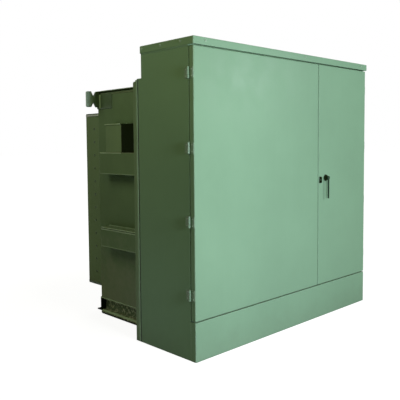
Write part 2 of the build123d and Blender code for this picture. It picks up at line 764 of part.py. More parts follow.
def lv_bushings():
    """Low-voltage bushings: short round insulators."""
    profile = [
        (0, LV_BUSHING_RADIUS),
        (LV_BUSHING_BODY_LENGTH, LV_BUSHING_RADIUS),
        (LV_BUSHING_REACH, LV_BUSHING_TIP_RADIUS),
    ]
    return [
        turned(profile, x, PLATE_FACE, LV_BUSHING_HEIGHT)
        for x in row(LV_BUSHING_COUNT, LV_BUSHING_PITCH, RIGHT_BAY_MIDDLE)
    ]


def lv_spades():
    """Drilled spade terminals on the low-voltage bushings."""
    spades = []
    base = PLATE_FACE - LV_BUSHING_REACH
    for x in row(LV_BUSHING_COUNT, LV_BUSHING_PITCH, RIGHT_BAY_MIDDLE):
        spade = block(
            (x - SPADE_THICKNESS / 2, base - SPADE_LENGTH, LV_BUSHING_HEIGHT - SPADE_WIDTH / 2),
            (x + SPADE_THICKNESS / 2, base, LV_BUSHING_HEIGHT + SPADE_WIDTH / 2),
        )
        for out in (0, 1):
            for up in (-1, 1):
                spade -= round_bar(
                    SPADE_HOLE_RADIUS,
                    (
                        x - SPADE_THICKNESS / 2,
                        base - SPADE_LENGTH + SPADE_HOLE_PITCH / 2 + out * SPADE_HOLE_PITCH,
                        LV_BUSHING_HEIGHT + up * SPADE_HOLE_PITCH / 2,
                    ),
                    SPADE_THICKNESS, (1, 0, 0),
                )
        spades.append(spade)
    return spades


def gauges():
    """Round level, pressure and temperature gauges."""
    profile = [
        (0, GAUGE_NECK_RADIUS),
        (GAUGE_NECK_LENGTH, GAUGE_NECK_RADIUS),
        (GAUGE_NECK_LENGTH, GAUGE_RADIUS),
        (GAUGE_REACH, GAUGE_RADIUS),
    ]
    return [
        turned(profile, x, PLATE_FACE, GAUGE_HEIGHT)
        for x in row(GAUGE_COUNT, GAUGE_PITCH, RIGHT_BAY_MIDDLE)
    ]


def tap_changer():
    """Round operator of the tap changer with a raised grip."""
    profile = [(0, TAP_CHANGER_RADIUS), (TAP_CHANGER_DISC, TAP_CHANGER_RADIUS)]
    disc = turned(profile, LEFT_BAY_MIDDLE, PLATE_FACE, TAP_CHANGER_HEIGHT)
    disc_face = PLATE_FACE - TAP_CHANGER_DISC
    grip_face = Plane((LEFT_BAY_MIDDLE, disc_face, TAP_CHANGER_HEIGHT), x_dir=(0, 0, 1), z_dir=(0, -1, 0))
    grip = extrude(grip_face * SlotOverall(2 * TAP_CHANGER_RADIUS, TAP_GRIP_WIDTH), TAP_GRIP_DEPTH)
    return disc + grip


def drain_valve():
    """Drain and sampling valve low on the front plate."""
    x = RIGHT_BAY_MIDDLE + GAUGE_PITCH
    profile = [
        (0, DRAIN_FLANGE_RADIUS),
        (DRAIN_FLANGE_THICKNESS, DRAIN_FLANGE_RADIUS),
        (DRAIN_FLANGE_THICKNESS, DRAIN_RADIUS),
        (DRAIN_REACH, DRAIN_RADIUS),
    ]
    body = turned(profile, x, PLATE_FACE, DRAIN_HEIGHT)
    stem_y = PLATE_FACE - DRAIN_STEM_REACH
    stem = round_bar(DRAIN_STEM_RADIUS, (x, stem_y, DRAIN_HEIGHT), DRAIN_STEM_HEIGHT, (0, 0, 1))
    wheel_bottom = DRAIN_HEIGHT + DRAIN_STEM_HEIGHT
    wheel = round_bar(DRAIN_WHEEL_RADIUS, (x, stem_y, wheel_bottom), DRAIN_WHEEL_THICKNESS, (0, 0, 1))
    return body + stem + wheel


def build():
    """All pieces by node name."""
    frame_leaves = hinge_leaf_set(towards_front=False)
    door_leaves = hinge_leaf_set(towards_front=True)
    pins = hinge_pins()
    rear_lug, front_lug = lug_set_left()
    nodes = {
        "tank": tank(),
        "tank_cover": tank_cover(),
        "front_plate": front_plate(),
        "base_channel_left": base_channel_left(),
        "base_channel_right": mirrored(base_channel_left()),
        "base_cross_members": base_cross_members(),
        "rear_hold_down_angle": rear_hold_down_angle(),
        "lifting_lug_rear_left": rear_lug,
        "lifting_lug_rear_right": mirrored(rear_lug),
        "lifting_lug_front_left": front_lug,
        "lifting_lug_front_right": mirrored(front_lug),
        "junction_box": junction_box(),
        "junction_box_lid": junction_box_lid(),
        "junction_box_front_section": junction_box_front_section(),
        "hood": hood(),
        "sill": sill(),
        "cabinet_side_left": cabinet_side_left(),
        "cabinet_side_right": mirrored(cabinet_side_left()),
        "header_rail": header_rail(),
        "back_strip": back_strip(),
        "compartment_barrier": compartment_barrier(),
        "hv_bushings": hv_bushings(),
        "fuse_holders": fuse_holders(),
        "lv_bushings": lv_bushings(),
        "lv_spades": lv_spades(),
        "gauges": gauges(),
        "tap_changer": tap_changer(),
        "drain_valve": drain_valve(),
        "left_door": left_door(),
        "left_door_stiffeners": left_door_stiffeners(),
        "right_door": right_door(),
        "right_door_stiffener": right_door_stiffener(),
        "left_hinge_frame_leaves": frame_leaves,
        "left_hinge_door_leaves": door_leaves,
        "left_hinge_pins": pins,
        "right_hinge_frame_leaves": [mirrored(s) for s in frame_leaves],
        "right_hinge_door_leaves": [mirrored(s) for s in door_leaves],
        "right_hinge_pins": [mirrored(s) for s in pins],
        "handle_escutcheon": handle_escutcheon(),
        "padlock_hasp": padlock_hasp(),
        "handle_lever": handle_lever(),
    }
    for level, (low, high) in STIFFENER_BANDS.items():
        band = side_stiffener_left(low, high)
        nodes[f"side_stiffener_{level}_left"] = band
        nodes[f"side_stiffener_{level}_right"] = mirrored(band)
    for index, name in enumerate(FIN_BANKS):
        nodes[f"fin_bank_{name}"] = fin_bank(index)
    return nodes


os.makedirs("parts", exist_ok=True)
for name, piece in build().items():
    shape = Compound(children=piece) if isinstance(piece, list) else piece
    export_step(shape, f"parts/{name}.step")
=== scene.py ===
"""Finish, weld beads, fasteners, seals and dials of a pad-mounted transformer, with studio light."""
import json
import math

import bmesh
import bpy
import numpy as np
from mathutils import Matrix, Vector


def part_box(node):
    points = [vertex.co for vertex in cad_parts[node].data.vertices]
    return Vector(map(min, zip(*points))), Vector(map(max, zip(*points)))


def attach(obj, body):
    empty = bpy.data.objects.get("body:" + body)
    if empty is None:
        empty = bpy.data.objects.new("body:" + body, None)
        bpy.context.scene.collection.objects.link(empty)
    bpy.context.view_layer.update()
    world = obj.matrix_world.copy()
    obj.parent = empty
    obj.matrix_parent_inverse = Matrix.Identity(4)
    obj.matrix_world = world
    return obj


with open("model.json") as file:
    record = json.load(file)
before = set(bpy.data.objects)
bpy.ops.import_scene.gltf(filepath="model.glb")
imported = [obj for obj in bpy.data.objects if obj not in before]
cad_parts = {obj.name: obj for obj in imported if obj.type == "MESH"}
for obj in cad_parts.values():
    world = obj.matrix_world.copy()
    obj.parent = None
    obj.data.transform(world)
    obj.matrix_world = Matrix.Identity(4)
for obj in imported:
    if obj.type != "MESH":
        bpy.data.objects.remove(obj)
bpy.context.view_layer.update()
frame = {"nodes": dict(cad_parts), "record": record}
nodes = frame["nodes"]

# Directions, and faces and corners that the solids give
LEFT, RIGHT, FORWARD, BACK, UP, DOWN = (
    (-1, 0, 0), (1, 0, 0), (0, -1, 0), (0, 1, 0), (0, 0, 1), (0, 0, -1)
)
door_low, door_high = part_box("left_door")
door_face = door_low[1]
hood_low, hood_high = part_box("hood")
side_face, jamb_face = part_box("cabinet_side_left")[0][:2]
tank_low, tank_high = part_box("tank")
plate_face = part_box("front_plate")[0][1]
pin_low, pin_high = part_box("left_hinge_pins")
hinge_y = (pin_low[1] + pin_high[1]) / 2

# Sizes of the solids that the trim is fitted to, in metres
HINGE_COUNT = 4
HINGE_END_INSET = 0.148
LEAF_THICKNESS = 0.003
LEAF_WIDTH = 0.026
BAND_THICKNESS = 0.006
RUNNER_HEIGHT = 0.032
RUNNER_RADIUS = 0.015
LUG_PAD_HEIGHT = 0.1
LUG_PAD_THICKNESS = 0.006
LUG_THICKNESS = 0.018
LUG_REAR_SETBACK = 0.028
LUG_FRONT_SETBACK = 0.08
FIN_PITCH = 0.05
FIN_THICKNESS = 0.014
FIN_STRIP_PROUD = 0.003
FIN_STRIP_MIDDLE = 0.0145
HV_PITCH = 0.22
HV_FLANGE_THICKNESS = 0.016
FUSE_PITCH = 0.13
FUSE_CAP_LENGTH = 0.036
LV_PITCH = 0.14
GAUGE_PITCH = 0.15
DRAIN_HEIGHT = 0.3
DRAIN_STEM_REACH = 0.066
DRAIN_WHEEL_THICKNESS = 0.012

# Camera, as the photograph was taken: turned towards +X, a little down and a little tilted
FOCAL_LENGTH = 51.057
SENSOR_WIDTH = 36
SHIFT_ACROSS = 0.0398
SHIFT_UP = -0.0521
FARTHEST_SEEN = 200
EYE_ACROSS = -3.1102
EYE_BEFORE_DOORS = 2.2494
EYE_HEIGHT = 1.2367
YAW, PITCH, ROLL = np.radians((43.18, 3.52, -0.56)).tolist()


def camera_turn(yaw, pitch, roll):
    """Matrix whose columns are the camera's right, up and backward directions."""
    forward = Vector((
        math.sin(yaw) * math.cos(pitch), math.cos(yaw) * math.cos(pitch), -math.sin(pitch)
    ))
    right = Vector((math.cos(yaw), -math.sin(yaw), 0))
    up = right.cross(forward)
    tilted_right = math.cos(roll) * right + math.sin(roll) * up
    tilted_up = -math.sin(roll) * right + math.cos(roll) * up
    return Matrix((tilted_right, tilted_up, -forward)).transposed().to_4x4()


lens = bpy.data.cameras.new("studio_camera")
lens.lens = FOCAL_LENGTH
lens.sensor_width = SENSOR_WIDTH
lens.shift_x = SHIFT_ACROSS
lens.shift_y = SHIFT_UP
lens.clip_end = FARTHEST_SEEN
eye = (EYE_ACROSS, door_face - EYE_BEFORE_DOORS, EYE_HEIGHT)
camera = bpy.data.objects.new("studio_camera", lens)
camera.matrix_world = Matrix.Translation(eye) @ camera_turn(YAW, PITCH, ROLL)
bpy.context.scene.collection.objects.link(camera)
bpy.context.scene.camera = camera
bpy.context.scene.view_settings.view_transform = "Standard"


# Shader node tools
NUMBER = "NodeSocketFloat"
COLOUR = "NodeSocketColor"
DIRECTION = "NodeSocketVector"
START_GREEN = (0.2, 0.3, 0.2, 1)
SOIL_BROWN = (0.13, 0.12, 0.08, 1)


def linked(tree, value, socket):
    """Links a socket, or sets a plain value."""
    if isinstance(value, bpy.types.NodeSocket):
        tree.links.new(value, socket)
    elif value is not None:
        socket.default_value = value


def math_node(tree, operation, *values, clamp=False):
    """A math node fed by sockets or numbers; returns its output."""
    node = tree.nodes.new("ShaderNodeMath")
    node.operation = operation
    node.use_clamp = clamp
    for socket, value in zip(node.inputs, values):
        linked(tree, value, socket)
    return node.outputs[0]


def mix_colour(tree, factor, first, second, blend="MIX"):
    """A colour mix fed by sockets or values; returns its output."""
    node = tree.nodes.new("ShaderNodeMix")
    node.data_type = "RGBA"
    node.blend_type = blend
    linked(tree, factor, node.inputs[0])
    linked(tree, first, node.inputs[6])
    linked(tree, second, node.inputs[7])
    return node.outputs[2]


def grey(tree, level):
    """The grey colour of a level."""
    node = tree.nodes.new("ShaderNodeCombineColor")
    for socket in node.inputs[:3]:
        tree.links.new(level, socket)
    return node.outputs[0]


def axes_of(tree, vector):
    """The three numbers of a vector."""
    node = tree.nodes.new("ShaderNodeSeparateXYZ")
    tree.links.new(vector, node.inputs[0])
    return node.outputs


def object_place(tree):
    """The point in the object's own frame."""
    return tree.nodes.new("ShaderNodeTexCoord").outputs["Object"]


def noise(tree, vector, scale, detail=4.0, roughness=0.5, stretch=(1, 1, 1)):
    """Noise on the vector, stretched by its own amount on each axis; returns the grey output."""
    if stretch != (1, 1, 1):
        mapping = tree.nodes.new("ShaderNodeMapping")
        mapping.inputs["Scale"].default_value = stretch
        tree.links.new(vector, mapping.inputs["Vector"])
        vector = mapping.outputs[0]
    node = tree.nodes.new("ShaderNodeTexNoise")
    node.inputs["Detail"].default_value = detail
    node.inputs["Roughness"].default_value = roughness
    linked(tree, scale, node.inputs["Scale"])
    tree.links.new(vector, node.inputs["Vector"])
    return node.outputs["Fac"]


def ramp(tree, value, low, high):
    """0 below low and 1 above high, smooth between."""
    node = tree.nodes.new("ShaderNodeMapRange")
    node.interpolation_type = "SMOOTHSTEP"
    linked(tree, value, node.inputs["Value"])
    linked(tree, low, node.inputs["From Min"])
    linked(tree, high, node.inputs["From Max"])
    return node.outputs[0]


def bump(tree, height, strength, distance, normal=None):
    """Bumped normal from a height."""
    node = tree.nodes.new("ShaderNodeBump")
    linked(tree, height, node.inputs["Height"])
    linked(tree, strength, node.inputs["Strength"])
    linked(tree, distance, node.inputs["Distance"])
    linked(tree, normal, node.inputs["Normal"])
    return node.outputs[0]


def new_group(name, inputs, outputs):
    """Shader node group that takes and gives a colour, with more sockets of its own.

    An input is (name, kind, starting value), and an output is (name, kind).
    """
    group = bpy.data.node_groups.new(name, "ShaderNodeTree")
    for label, kind, value in [("Color", COLOUR, START_GREEN)] + inputs:
        socket = group.interface.new_socket(label, in_out="INPUT", socket_type=kind)
        if value is not None:
            socket.default_value = value
    for label, kind in [("Color", COLOUR)] + outputs:
        group.interface.new_socket(label, in_out="OUTPUT", socket_type=kind)
    entry = group.nodes.new("NodeGroupInput")
    leave = group.nodes.new("NodeGroupOutput")
    return group, entry.outputs, leave.inputs


def lay_over(group, entry, leave, strength, over):
    """Lays the named colour over the first by strength times Amount, and puts that mask out too."""
    mask = math_node(group, "MULTIPLY", strength, entry["Amount"], clamp=True)
    group.links.new(mix_colour(group, mask, entry["Color"], entry[over]), leave["Color"])
    group.links.new(mask, leave["Mask"])


def place_group(tree, group, **inputs):
    """A group in a material, with sockets or values for its inputs."""
    node = tree.nodes.new("ShaderNodeGroup")
    node.node_tree = group
    for name, value in inputs.items():
        linked(tree, value, node.inputs[name])
    return node.outputs


# Effects that several finishes share
def paint_film_group():
    """Sprayed paint: broad fading, faint runs of rain, fine speckle, and orange peel in the gloss."""
    group, entry, leave = new_group(
        "paint_film",
        [("Fade", NUMBER, 0.1), ("Streak", NUMBER, 0.02), ("Roughness", NUMBER, 0.4),
         ("Peel", NUMBER, 0.1), ("Normal", DIRECTION, None)],
        [("Roughness", NUMBER), ("Normal", DIRECTION)],
    )
    place = object_place(group)
    clouds = ramp(group, noise(group, place, 1.3, detail=2), 0.3, 0.7)
    patches = ramp(group, noise(group, place, 9.0, detail=5), 0.3, 0.7)
    speckle = noise(group, place, 160.0, detail=2)
    rain = ramp(group, noise(group, place, 1.0, stretch=(60, 60, 1.4)), 0.45, 0.75)
    tone = math_node(group, "MULTIPLY_ADD", clouds, 0.66, math_node(group, "MULTIPLY", patches, 0.24))
    tone = math_node(group, "MULTIPLY_ADD", speckle, 0.1, tone)
    shade = math_node(group, "MULTIPLY", math_node(group, "SUBTRACT", tone, 0.5), entry["Fade"])
    wash = math_node(group, "MULTIPLY", math_node(group, "SUBTRACT", rain, 0.3), entry["Streak"])
    level = math_node(group, "ADD", math_node(group, "ADD", shade, wash), 1.0)
    faded = mix_colour(group, 1.0, entry["Color"], grey(group, level), "MULTIPLY")
    uneven = math_node(group, "SUBTRACT", patches, 0.5)
    rough = math_node(group, "MULTIPLY_ADD", uneven, 0.14, entry["Roughness"])
    peel = bump(group, noise(group, place, 420.0, detail=2), entry["Peel"], 0.0006, entry["Normal"])
    group.links.new(faded, leave["Color"])
    group.links.new(rough, leave["Roughness"])
    group.links.new(peel, leave["Normal"])
    return group


def edge_wear_and_highlight_group():
    """Sharp edges and sheet bends made paler, partly wear from hands and rags and partly a painted
    highlight where light would catch them, with a soft normal.

    A bend is where the object's own normal lies well away from all three of its axes.
    """
    group, entry, leave = new_group(
        "edge_wear_and_highlight",
        [("Edge", COLOUR, (0.4, 0.5, 0.4, 1)), ("Radius", NUMBER, 0.003), ("Amount", NUMBER, 0.5),
         ("Bend", NUMBER, 0.0)],
        [("Mask", NUMBER), ("Normal", DIRECTION)],
    )
    bevel = group.nodes.new("ShaderNodeBevel")
    bevel.samples = 6
    group.links.new(entry["Radius"], bevel.inputs["Radius"])
    flat = group.nodes.new("ShaderNodeNewGeometry")
    dot = group.nodes.new("ShaderNodeVectorMath")
    dot.operation = "DOT_PRODUCT"
    group.links.new(bevel.outputs[0], dot.inputs[0])
    group.links.new(flat.outputs["True Normal"], dot.inputs[1])
    edge = ramp(group, math_node(group, "SUBTRACT", 1.0, dot.outputs["Value"]), 0.02, 0.2)
    own_normal = group.nodes.new("ShaderNodeTexCoord").outputs["Normal"]
    x, y, z = [math_node(group, "ABSOLUTE", axis) for axis in axes_of(group, own_normal)]
    straight = math_node(group, "MAXIMUM", math_node(group, "MAXIMUM", x, y), z)
    bend = ramp(group, math_node(group, "SUBTRACT", 1.0, straight), 0.01, 0.12)
    turn = math_node(group, "MAXIMUM", edge, math_node(group, "MULTIPLY", bend, entry["Bend"]))
    broken = ramp(group, noise(group, object_place(group), 26.0, detail=5), 0.0, 0.45)
    # The pale edge colour goes on as worn paint and painted highlight together
    lay_over(group, entry, leave, math_node(group, "MULTIPLY", turn, broken), "Edge")
    group.links.new(bevel.outputs[0], leave["Normal"])
    return group


def corner_shade_and_grime_group():
    """Painted shade with dirt in it, in corners, gaps and under ledges: strong where little open sky is near,
    ragged by noise.
    """
    group, entry, leave = new_group(
        "corner_shade_and_grime",
        [("ShadeGrime", COLOUR, (0.05, 0.05, 0.03, 1)), ("Distance", NUMBER, 0.05), ("Amount", NUMBER, 0.5)],
        [("Mask", NUMBER)],
    )
    sky = group.nodes.new("ShaderNodeAmbientOcclusion")
    sky.samples = 6
    group.links.new(entry["Distance"], sky.inputs["Distance"])
    patches = noise(group, object_place(group), 22.0, detail=5, roughness=0.6)
    ragged = math_node(group, "MULTIPLY", patches, 0.5)
    depth = math_node(group, "SUBTRACT", math_node(group, "SUBTRACT", 1.2, sky.outputs["AO"]), ragged)
    # Darker where less open sky is near: painted shade
    lay_over(group, entry, leave, ramp(group, depth, 0.0, 0.75), "ShadeGrime")
    return group


def settled_dust_group():
    """Dust on faces that look up, in drifts of noise."""
    group, entry, leave = new_group(
        "settled_dust",
        [("Dust", COLOUR, (0.3, 0.29, 0.22, 1)), ("Amount", NUMBER, 0.4)],
        [("Mask", NUMBER)],
    )
    normal = group.nodes.new("ShaderNodeNewGeometry").outputs["Normal"]
    upward = ramp(group, axes_of(group, normal)["Z"], 0.55, 0.95)
    drift = ramp(group, noise(group, object_place(group), 7.0, detail=6, roughness=0.62), 0.3, 0.72)
    lay_over(group, entry, leave, math_node(group, "MULTIPLY", upward, drift), "Dust")
    return group


def ground_dirt_group():
    """Splashed soil: strong at the ground, ragged, gone above the given height."""
    group, entry, leave = new_group(
        "ground_dirt",
        [("Dirt", COLOUR, SOIL_BROWN), ("Height", NUMBER, 0.15), ("Amount", NUMBER, 0.5)],
        [("Mask", NUMBER)],
    )
    place = object_place(group)
    patches = noise(group, place, 14.0, detail=6, roughness=0.65)
    ragged = math_node(group, "MULTIPLY", patches, 1.6)
    reach = math_node(group, "DIVIDE", axes_of(group, place)["Z"], entry["Height"])
    near = math_node(group, "SUBTRACT", ragged, reach)
    lay_over(group, entry, leave, ramp(group, near, -0.35, 0.8), "Dirt")
    return group


def mottle_group():
    """Blotches of a second colour with ragged rims, at the given scale."""
    group, entry, leave = new_group(
        "mottle",
        [("Spot", COLOUR, (0.3, 0.3, 0.2, 1)), ("Scale", NUMBER, 20.0), ("Amount", NUMBER, 0.5)],
        [("Mask", NUMBER)],
    )
    patches = noise(group, object_place(group), entry["Scale"], detail=7, roughness=0.68)
    lay_over(group, entry, leave, ramp(group, patches, 0.48, 0.62), "Spot")
    return group


PAINT_FILM = paint_film_group()
EDGE_WEAR_AND_HIGHLIGHT = edge_wear_and_highlight_group()
CORNER_SHADE_AND_GRIME = corner_shade_and_grime_group()
SETTLED_DUST = settled_dust_group()
GROUND_DIRT = ground_dirt_group()
MOTTLE = mottle_group()


# Finishes
PALE_SPOT = (0.78, 0.86, 0.66, 1)
SPOT_SCALE = 44.0
METAL_SPOT_SCALE = 55.0
LIT_TIP_STARTS = 0.78
LIT_TIP_ENDS = 0.86


def new_material(name, specular=0.5, metallic=0.0):
    """Material, its node tree and its shader's inputs."""
    material = bpy.data.materials.new(name)
    material.use_nodes = True
    shader = material.node_tree.nodes["Principled BSDF"]
    shader.inputs["Specular IOR Level"].default_value = specular
    shader.inputs["Metallic"].default_value = metallic
    return material, material.node_tree, shader.inputs


def paler(colour, factor, lift=0.0):
    """The colour scaled and lifted, for a worn edge with a painted highlight."""
    return tuple(min(1, factor * c + lift) for c in colour[:3]) + (1,)


def painted(name, colour, fade=0.12, streak=0.02, roughness=0.4, peel=0.12, specular=0.2, edge=None,
            wear_and_highlight=0.3, edge_radius=0.003, bend=0.0, shade_and_grime=0.35, shade_and_grime_reach=0.05, dust=0.3, dirt=0.35,
            dirt_height=0.16, soil=SOIL_BROWN, spots=0.0, tip=None):
    """Paint film with worn edges made paler still as a painted highlight, painted shade with dirt
    in corners and gaps, settled dust and splashed soil.

    Spots is the amount of pale blotches under the film. A tip colour is painted light: it tints
    what stands off the tank's side, a painted sheen on the lugs' outer ends.
    """
    material, tree, shader = new_material(name, specular)
    base = colour
    # The tip colour is painted light, lightest on what stands farthest off the tank's side
    if tip:
        out = math_node(tree, "ABSOLUTE", axes_of(tree, object_place(tree))["X"])
        base = mix_colour(tree, ramp(tree, out, LIT_TIP_STARTS, LIT_TIP_ENDS), colour, tip)
    if spots:
        base = place_group(tree, MOTTLE, Color=base, Spot=PALE_SPOT, Scale=SPOT_SCALE,
                           Amount=spots)["Color"]
    # Pale edges and bends: worn paint and painted highlight
    worn_lit_edges = place_group(tree, EDGE_WEAR_AND_HIGHLIGHT, Color=base, Edge=edge or paler(colour, 1.35, 0.03),
                         Amount=wear_and_highlight, Radius=edge_radius, Bend=bend)
    film = place_group(tree, PAINT_FILM, Color=worn_lit_edges["Color"], Fade=fade, Streak=streak,
                       Roughness=roughness, Peel=peel, Normal=worn_lit_edges["Normal"])
    # Painted shade in corners and gaps, with dirt
    shaded_and_grimed = place_group(tree, CORNER_SHADE_AND_GRIME, Color=film["Color"], Distance=shade_and_grime_reach, Amount=shade_and_grime)
    dusty = place_group(tree, SETTLED_DUST, Color=shaded_and_grimed["Color"], Amount=dust)
    soiled = place_group(tree, GROUND_DIRT, Color=dusty["Color"], Dirt=soil, Height=dirt_height,
                         Amount=dirt)
    tree.links.new(soiled["Color"], shader["Base Color"])
    loose = math_node(tree, "ADD", soiled["Mask"], dusty["Mask"])
    tree.links.new(math_node(tree, "MULTIPLY_ADD", loose, 0.35, film["Roughness"]), shader["Roughness"])
    tree.links.new(film["Normal"], shader["Normal"])
    return material


def bare_metal(name, colour, dull, roughness=0.3, metallic=0.85, grain=(1, 1, 30)):
    """Metal with drawn grain in its gloss and duller blotches."""
    material, tree, shader = new_material(name, 0.5, metallic)
    # Paler edges: wear and a painted highlight
    worn_lit_edges = place_group(tree, EDGE_WEAR_AND_HIGHLIGHT, Color=colour, Edge=paler(colour, 1.25), Amount=0.4,
                         Radius=0.0012)
    aged = place_group(tree, MOTTLE, Color=worn_lit_edges["Color"], Spot=dull, Scale=METAL_SPOT_SCALE,
                       Amount=0.5)
    # Painted shade in corners, with dirt
    shaded_and_grimed = place_group(tree, CORNER_SHADE_AND_GRIME, Color=aged["Color"], Distance=0.008, Amount=0.6)
    tree.links.new(shaded_and_grimed["Color"], shader["Base Color"])
    lines = noise(tree, object_place(tree), 60.0, detail=3, stretch=grain)
    rough = math_node(tree, "MULTIPLY_ADD", lines, 0.16, roughness - 0.08)
    tree.links.new(math_node(tree, "MULTIPLY_ADD", aged["Mask"], 0.3, rough), shader["Roughness"])
    tree.links.new(bump(tree, lines, 0.15, 0.0003, worn_lit_edges["Normal"]), shader["Normal"])
    return material


def glass():
    """Clear dial glass with a trace of finger marks in its gloss."""
    material, tree, shader = new_material("dial_glass")
    shader["Base Color"].default_value = (0.97, 0.99, 0.98, 1)
    shader["Transmission Weight"].default_value = 1.0
    shader["IOR"].default_value = 1.45
    smear = ramp(tree, noise(tree, object_place(tree), 45.0, detail=5), 0.45, 0.7)
    tree.links.new(math_node(tree, "MULTIPLY_ADD", smear, 0.08, 0.03), shader["Roughness"])
    return material


# Pale edge colours and bend amounts below paint highlight on top of wear; the corner amounts paint shade with
# dirt in it
cabinet_paint = painted(
    "cabinet_paint", (0.222, 0.385, 0.24, 1), fade=0.1, streak=0.01, specular=0.04,
    edge=(0.4, 0.64, 0.44, 1), wear_and_highlight=0.6, edge_radius=0.005, bend=0.6, shade_and_grime=0.2, shade_and_grime_reach=0.018,
    dirt=0.1)
tank_paint = painted(
    "tank_paint", (0.215, 0.345, 0.205, 1), fade=0.25, roughness=0.46, specular=0.02,
    edge=(0.56, 0.66, 0.48, 1), wear_and_highlight=0.8, edge_radius=0.005, bend=1.0, shade_and_grime=0.6, dirt=0.75,
    dirt_height=0.6, soil=(0.36, 0.44, 0.34, 1))
# Paler paint on beads and lips: a painted highlight where light catches them
bead_highlight_paint = painted(
    "bead_highlight_paint", (0.32, 0.48, 0.31, 1), fade=0.3, specular=0.05, shade_and_grime=0.3, dust=0.05, dirt=0.0)
# A lighter copy of the tank's paint for the junction box: painted light on its lit faces
box_lit_paint = painted(
    "box_lit_paint", (0.27, 0.42, 0.25, 1), fade=0.35, roughness=0.46, specular=0.03,
    edge=(0.6, 0.7, 0.5, 1), wear_and_highlight=0.9, edge_radius=0.005, bend=1.0, shade_and_grime=0.5, dust=0.4, dirt=0.0)
base_paint = painted(
    "base_paint", (0.2, 0.3, 0.18, 1), fade=0.4, roughness=0.55, peel=0.4, specular=0.02,
    edge=(0.6, 0.68, 0.5, 1), wear_and_highlight=0.9, edge_radius=0.005, bend=0.8, shade_and_grime=0.5, dust=0.4, dirt=0.0,
    spots=0.9)
# Dark paint on the lugs and pads is painted shade; the pale blue tip colour is a painted sheen on their outer
# ends
lug_shade_and_sheen_paint = painted(
    "lug_shade_and_sheen_paint", (0.13, 0.21, 0.12, 1), fade=0.4, roughness=0.42, specular=0.15, edge_radius=0.004,
    shade_and_grime=0.6, dirt=0.0, tip=(0.62, 0.9, 0.92, 1))
# Pale paint on the box's lid, rolled edges, seams and some beads: a painted highlight where light catches
# them
pale_highlight_paint = painted(
    "pale_highlight_paint", (0.5, 0.72, 0.48, 1), fade=0.4, specular=0.1, wear_and_highlight=0.5, shade_and_grime=0.3, dust=0.05, dirt=0.0)
plate_paint = painted(
    "plate_paint", (0.23, 0.36, 0.22, 1), fade=0.2, specular=0.04, dust=0.1, dirt=0.05)
fin_paint = painted(
    "fin_paint", (0.26, 0.4, 0.23, 1), fade=0.2, roughness=0.46, specular=0.03,
    edge=(0.5, 0.58, 0.4, 1), wear_and_highlight=0.6, shade_and_grime=0.4, dirt=0.3, dirt_height=0.4)
black_paint = painted(
    "black_paint", (0.011, 0.019, 0.005, 1), roughness=0.55, specular=0.01, wear_and_highlight=0.12, shade_and_grime=0.0,
    dust=0.1, dirt=0.0)
# Near black on the cover's rim: a dark edging, partly painted shade along the rim
rim_edging_and_shade = painted(
    "rim_edging_and_shade", (0.012, 0.018, 0.007, 1), roughness=0.6, specular=0.01, wear_and_highlight=0.05, shade_and_grime=0.0,
    dust=0.08, dirt=0.0)
# Dark paint for the fins' spot welds, and for strips that paint shade: the fins' rims and lower bars and the
# strip on the lower stiffener
dark_weld_and_shade = painted("dark_weld_and_shade", (0.10, 0.16, 0.09, 1), specular=0.1, wear_and_highlight=0.0, shade_and_grime=0.3, dirt=0.0)
# Near white on the fins' upper seam bars: a painted highlight
fin_seam_highlight = painted(
    "fin_seam_highlight", (0.75, 0.86, 0.84, 1), specular=0.3, wear_and_highlight=0.0, shade_and_grime=0.2, dust=0.0, dirt=0.0)
screw_paint = painted(
    "screw_paint", (0.3, 0.45, 0.31, 1), edge=(0.5, 0.62, 0.48, 1), wear_and_highlight=0.4, edge_radius=0.001,
    shade_and_grime=0.4, shade_and_grime_reach=0.006, dirt=0.0)
hinge_paint = painted(
    "hinge_paint", (0.19, 0.32, 0.2, 1), roughness=0.24, specular=0.25, edge=(0.7, 0.78, 0.68, 1),
    edge_radius=0.0015, shade_and_grime=0.7, shade_and_grime_reach=0.012, dirt=0.0)
handle_finish = painted(
    "handle_finish", (0.01, 0.035, 0.016, 1), roughness=0.36, specular=0.1,
    edge=(0.08, 0.12, 0.08, 1), wear_and_highlight=0.12, edge_radius=0.0015, shade_and_grime=0.0, dust=0.1, dirt=0.0)
rubber = painted(
    "seal_rubber", (0.02, 0.02, 0.02, 1), roughness=0.7, peel=0.5, edge=(0.06, 0.06, 0.06, 1),
    wear_and_highlight=0.2, shade_and_grime=0.0, dust=0.4, dirt=0.0)
epoxy = painted(
    "cast_epoxy", (0.10, 0.045, 0.03, 1), roughness=0.3, specular=0.5, edge=(0.2, 0.1, 0.07, 1),
    wear_and_highlight=0.1, shade_and_grime=0.3, dust=0.4, dirt=0.0)
dial_white = painted(
    "dial_white", (0.78, 0.77, 0.72, 1), fade=0.06, roughness=0.5, wear_and_highlight=0.0, shade_and_grime=0.3, dust=0.0,
    dirt=0.0)
dial_black = painted("dial_black", (0.02, 0.02, 0.022, 1), wear_and_highlight=0.0, shade_and_grime=0.0, dust=0.0, dirt=0.0)
dial_red = painted("dial_red", (0.55, 0.03, 0.02, 1), wear_and_highlight=0.0, shade_and_grime=0.0, dust=0.0, dirt=0.0)
bright_steel = bare_metal("bright_steel", (0.62, 0.66, 0.6, 1), (0.42, 0.44, 0.38, 1), 0.3, 0.7)
screw_steel = bare_metal(
    "screw_steel", (0.66, 0.7, 0.62, 1), (0.45, 0.46, 0.4, 1), 0.34, 0.5, grain=(1, 1, 1))
tinned = bare_metal("tinned_copper", (0.60, 0.58, 0.54, 1), (0.42, 0.36, 0.3, 1), 0.32, 0.9)
brass = bare_metal(
    "cast_brass", (0.52, 0.36, 0.13, 1), (0.3, 0.2, 0.09, 1), 0.38, 0.85, grain=(1, 1, 1))
dial_glass = glass()

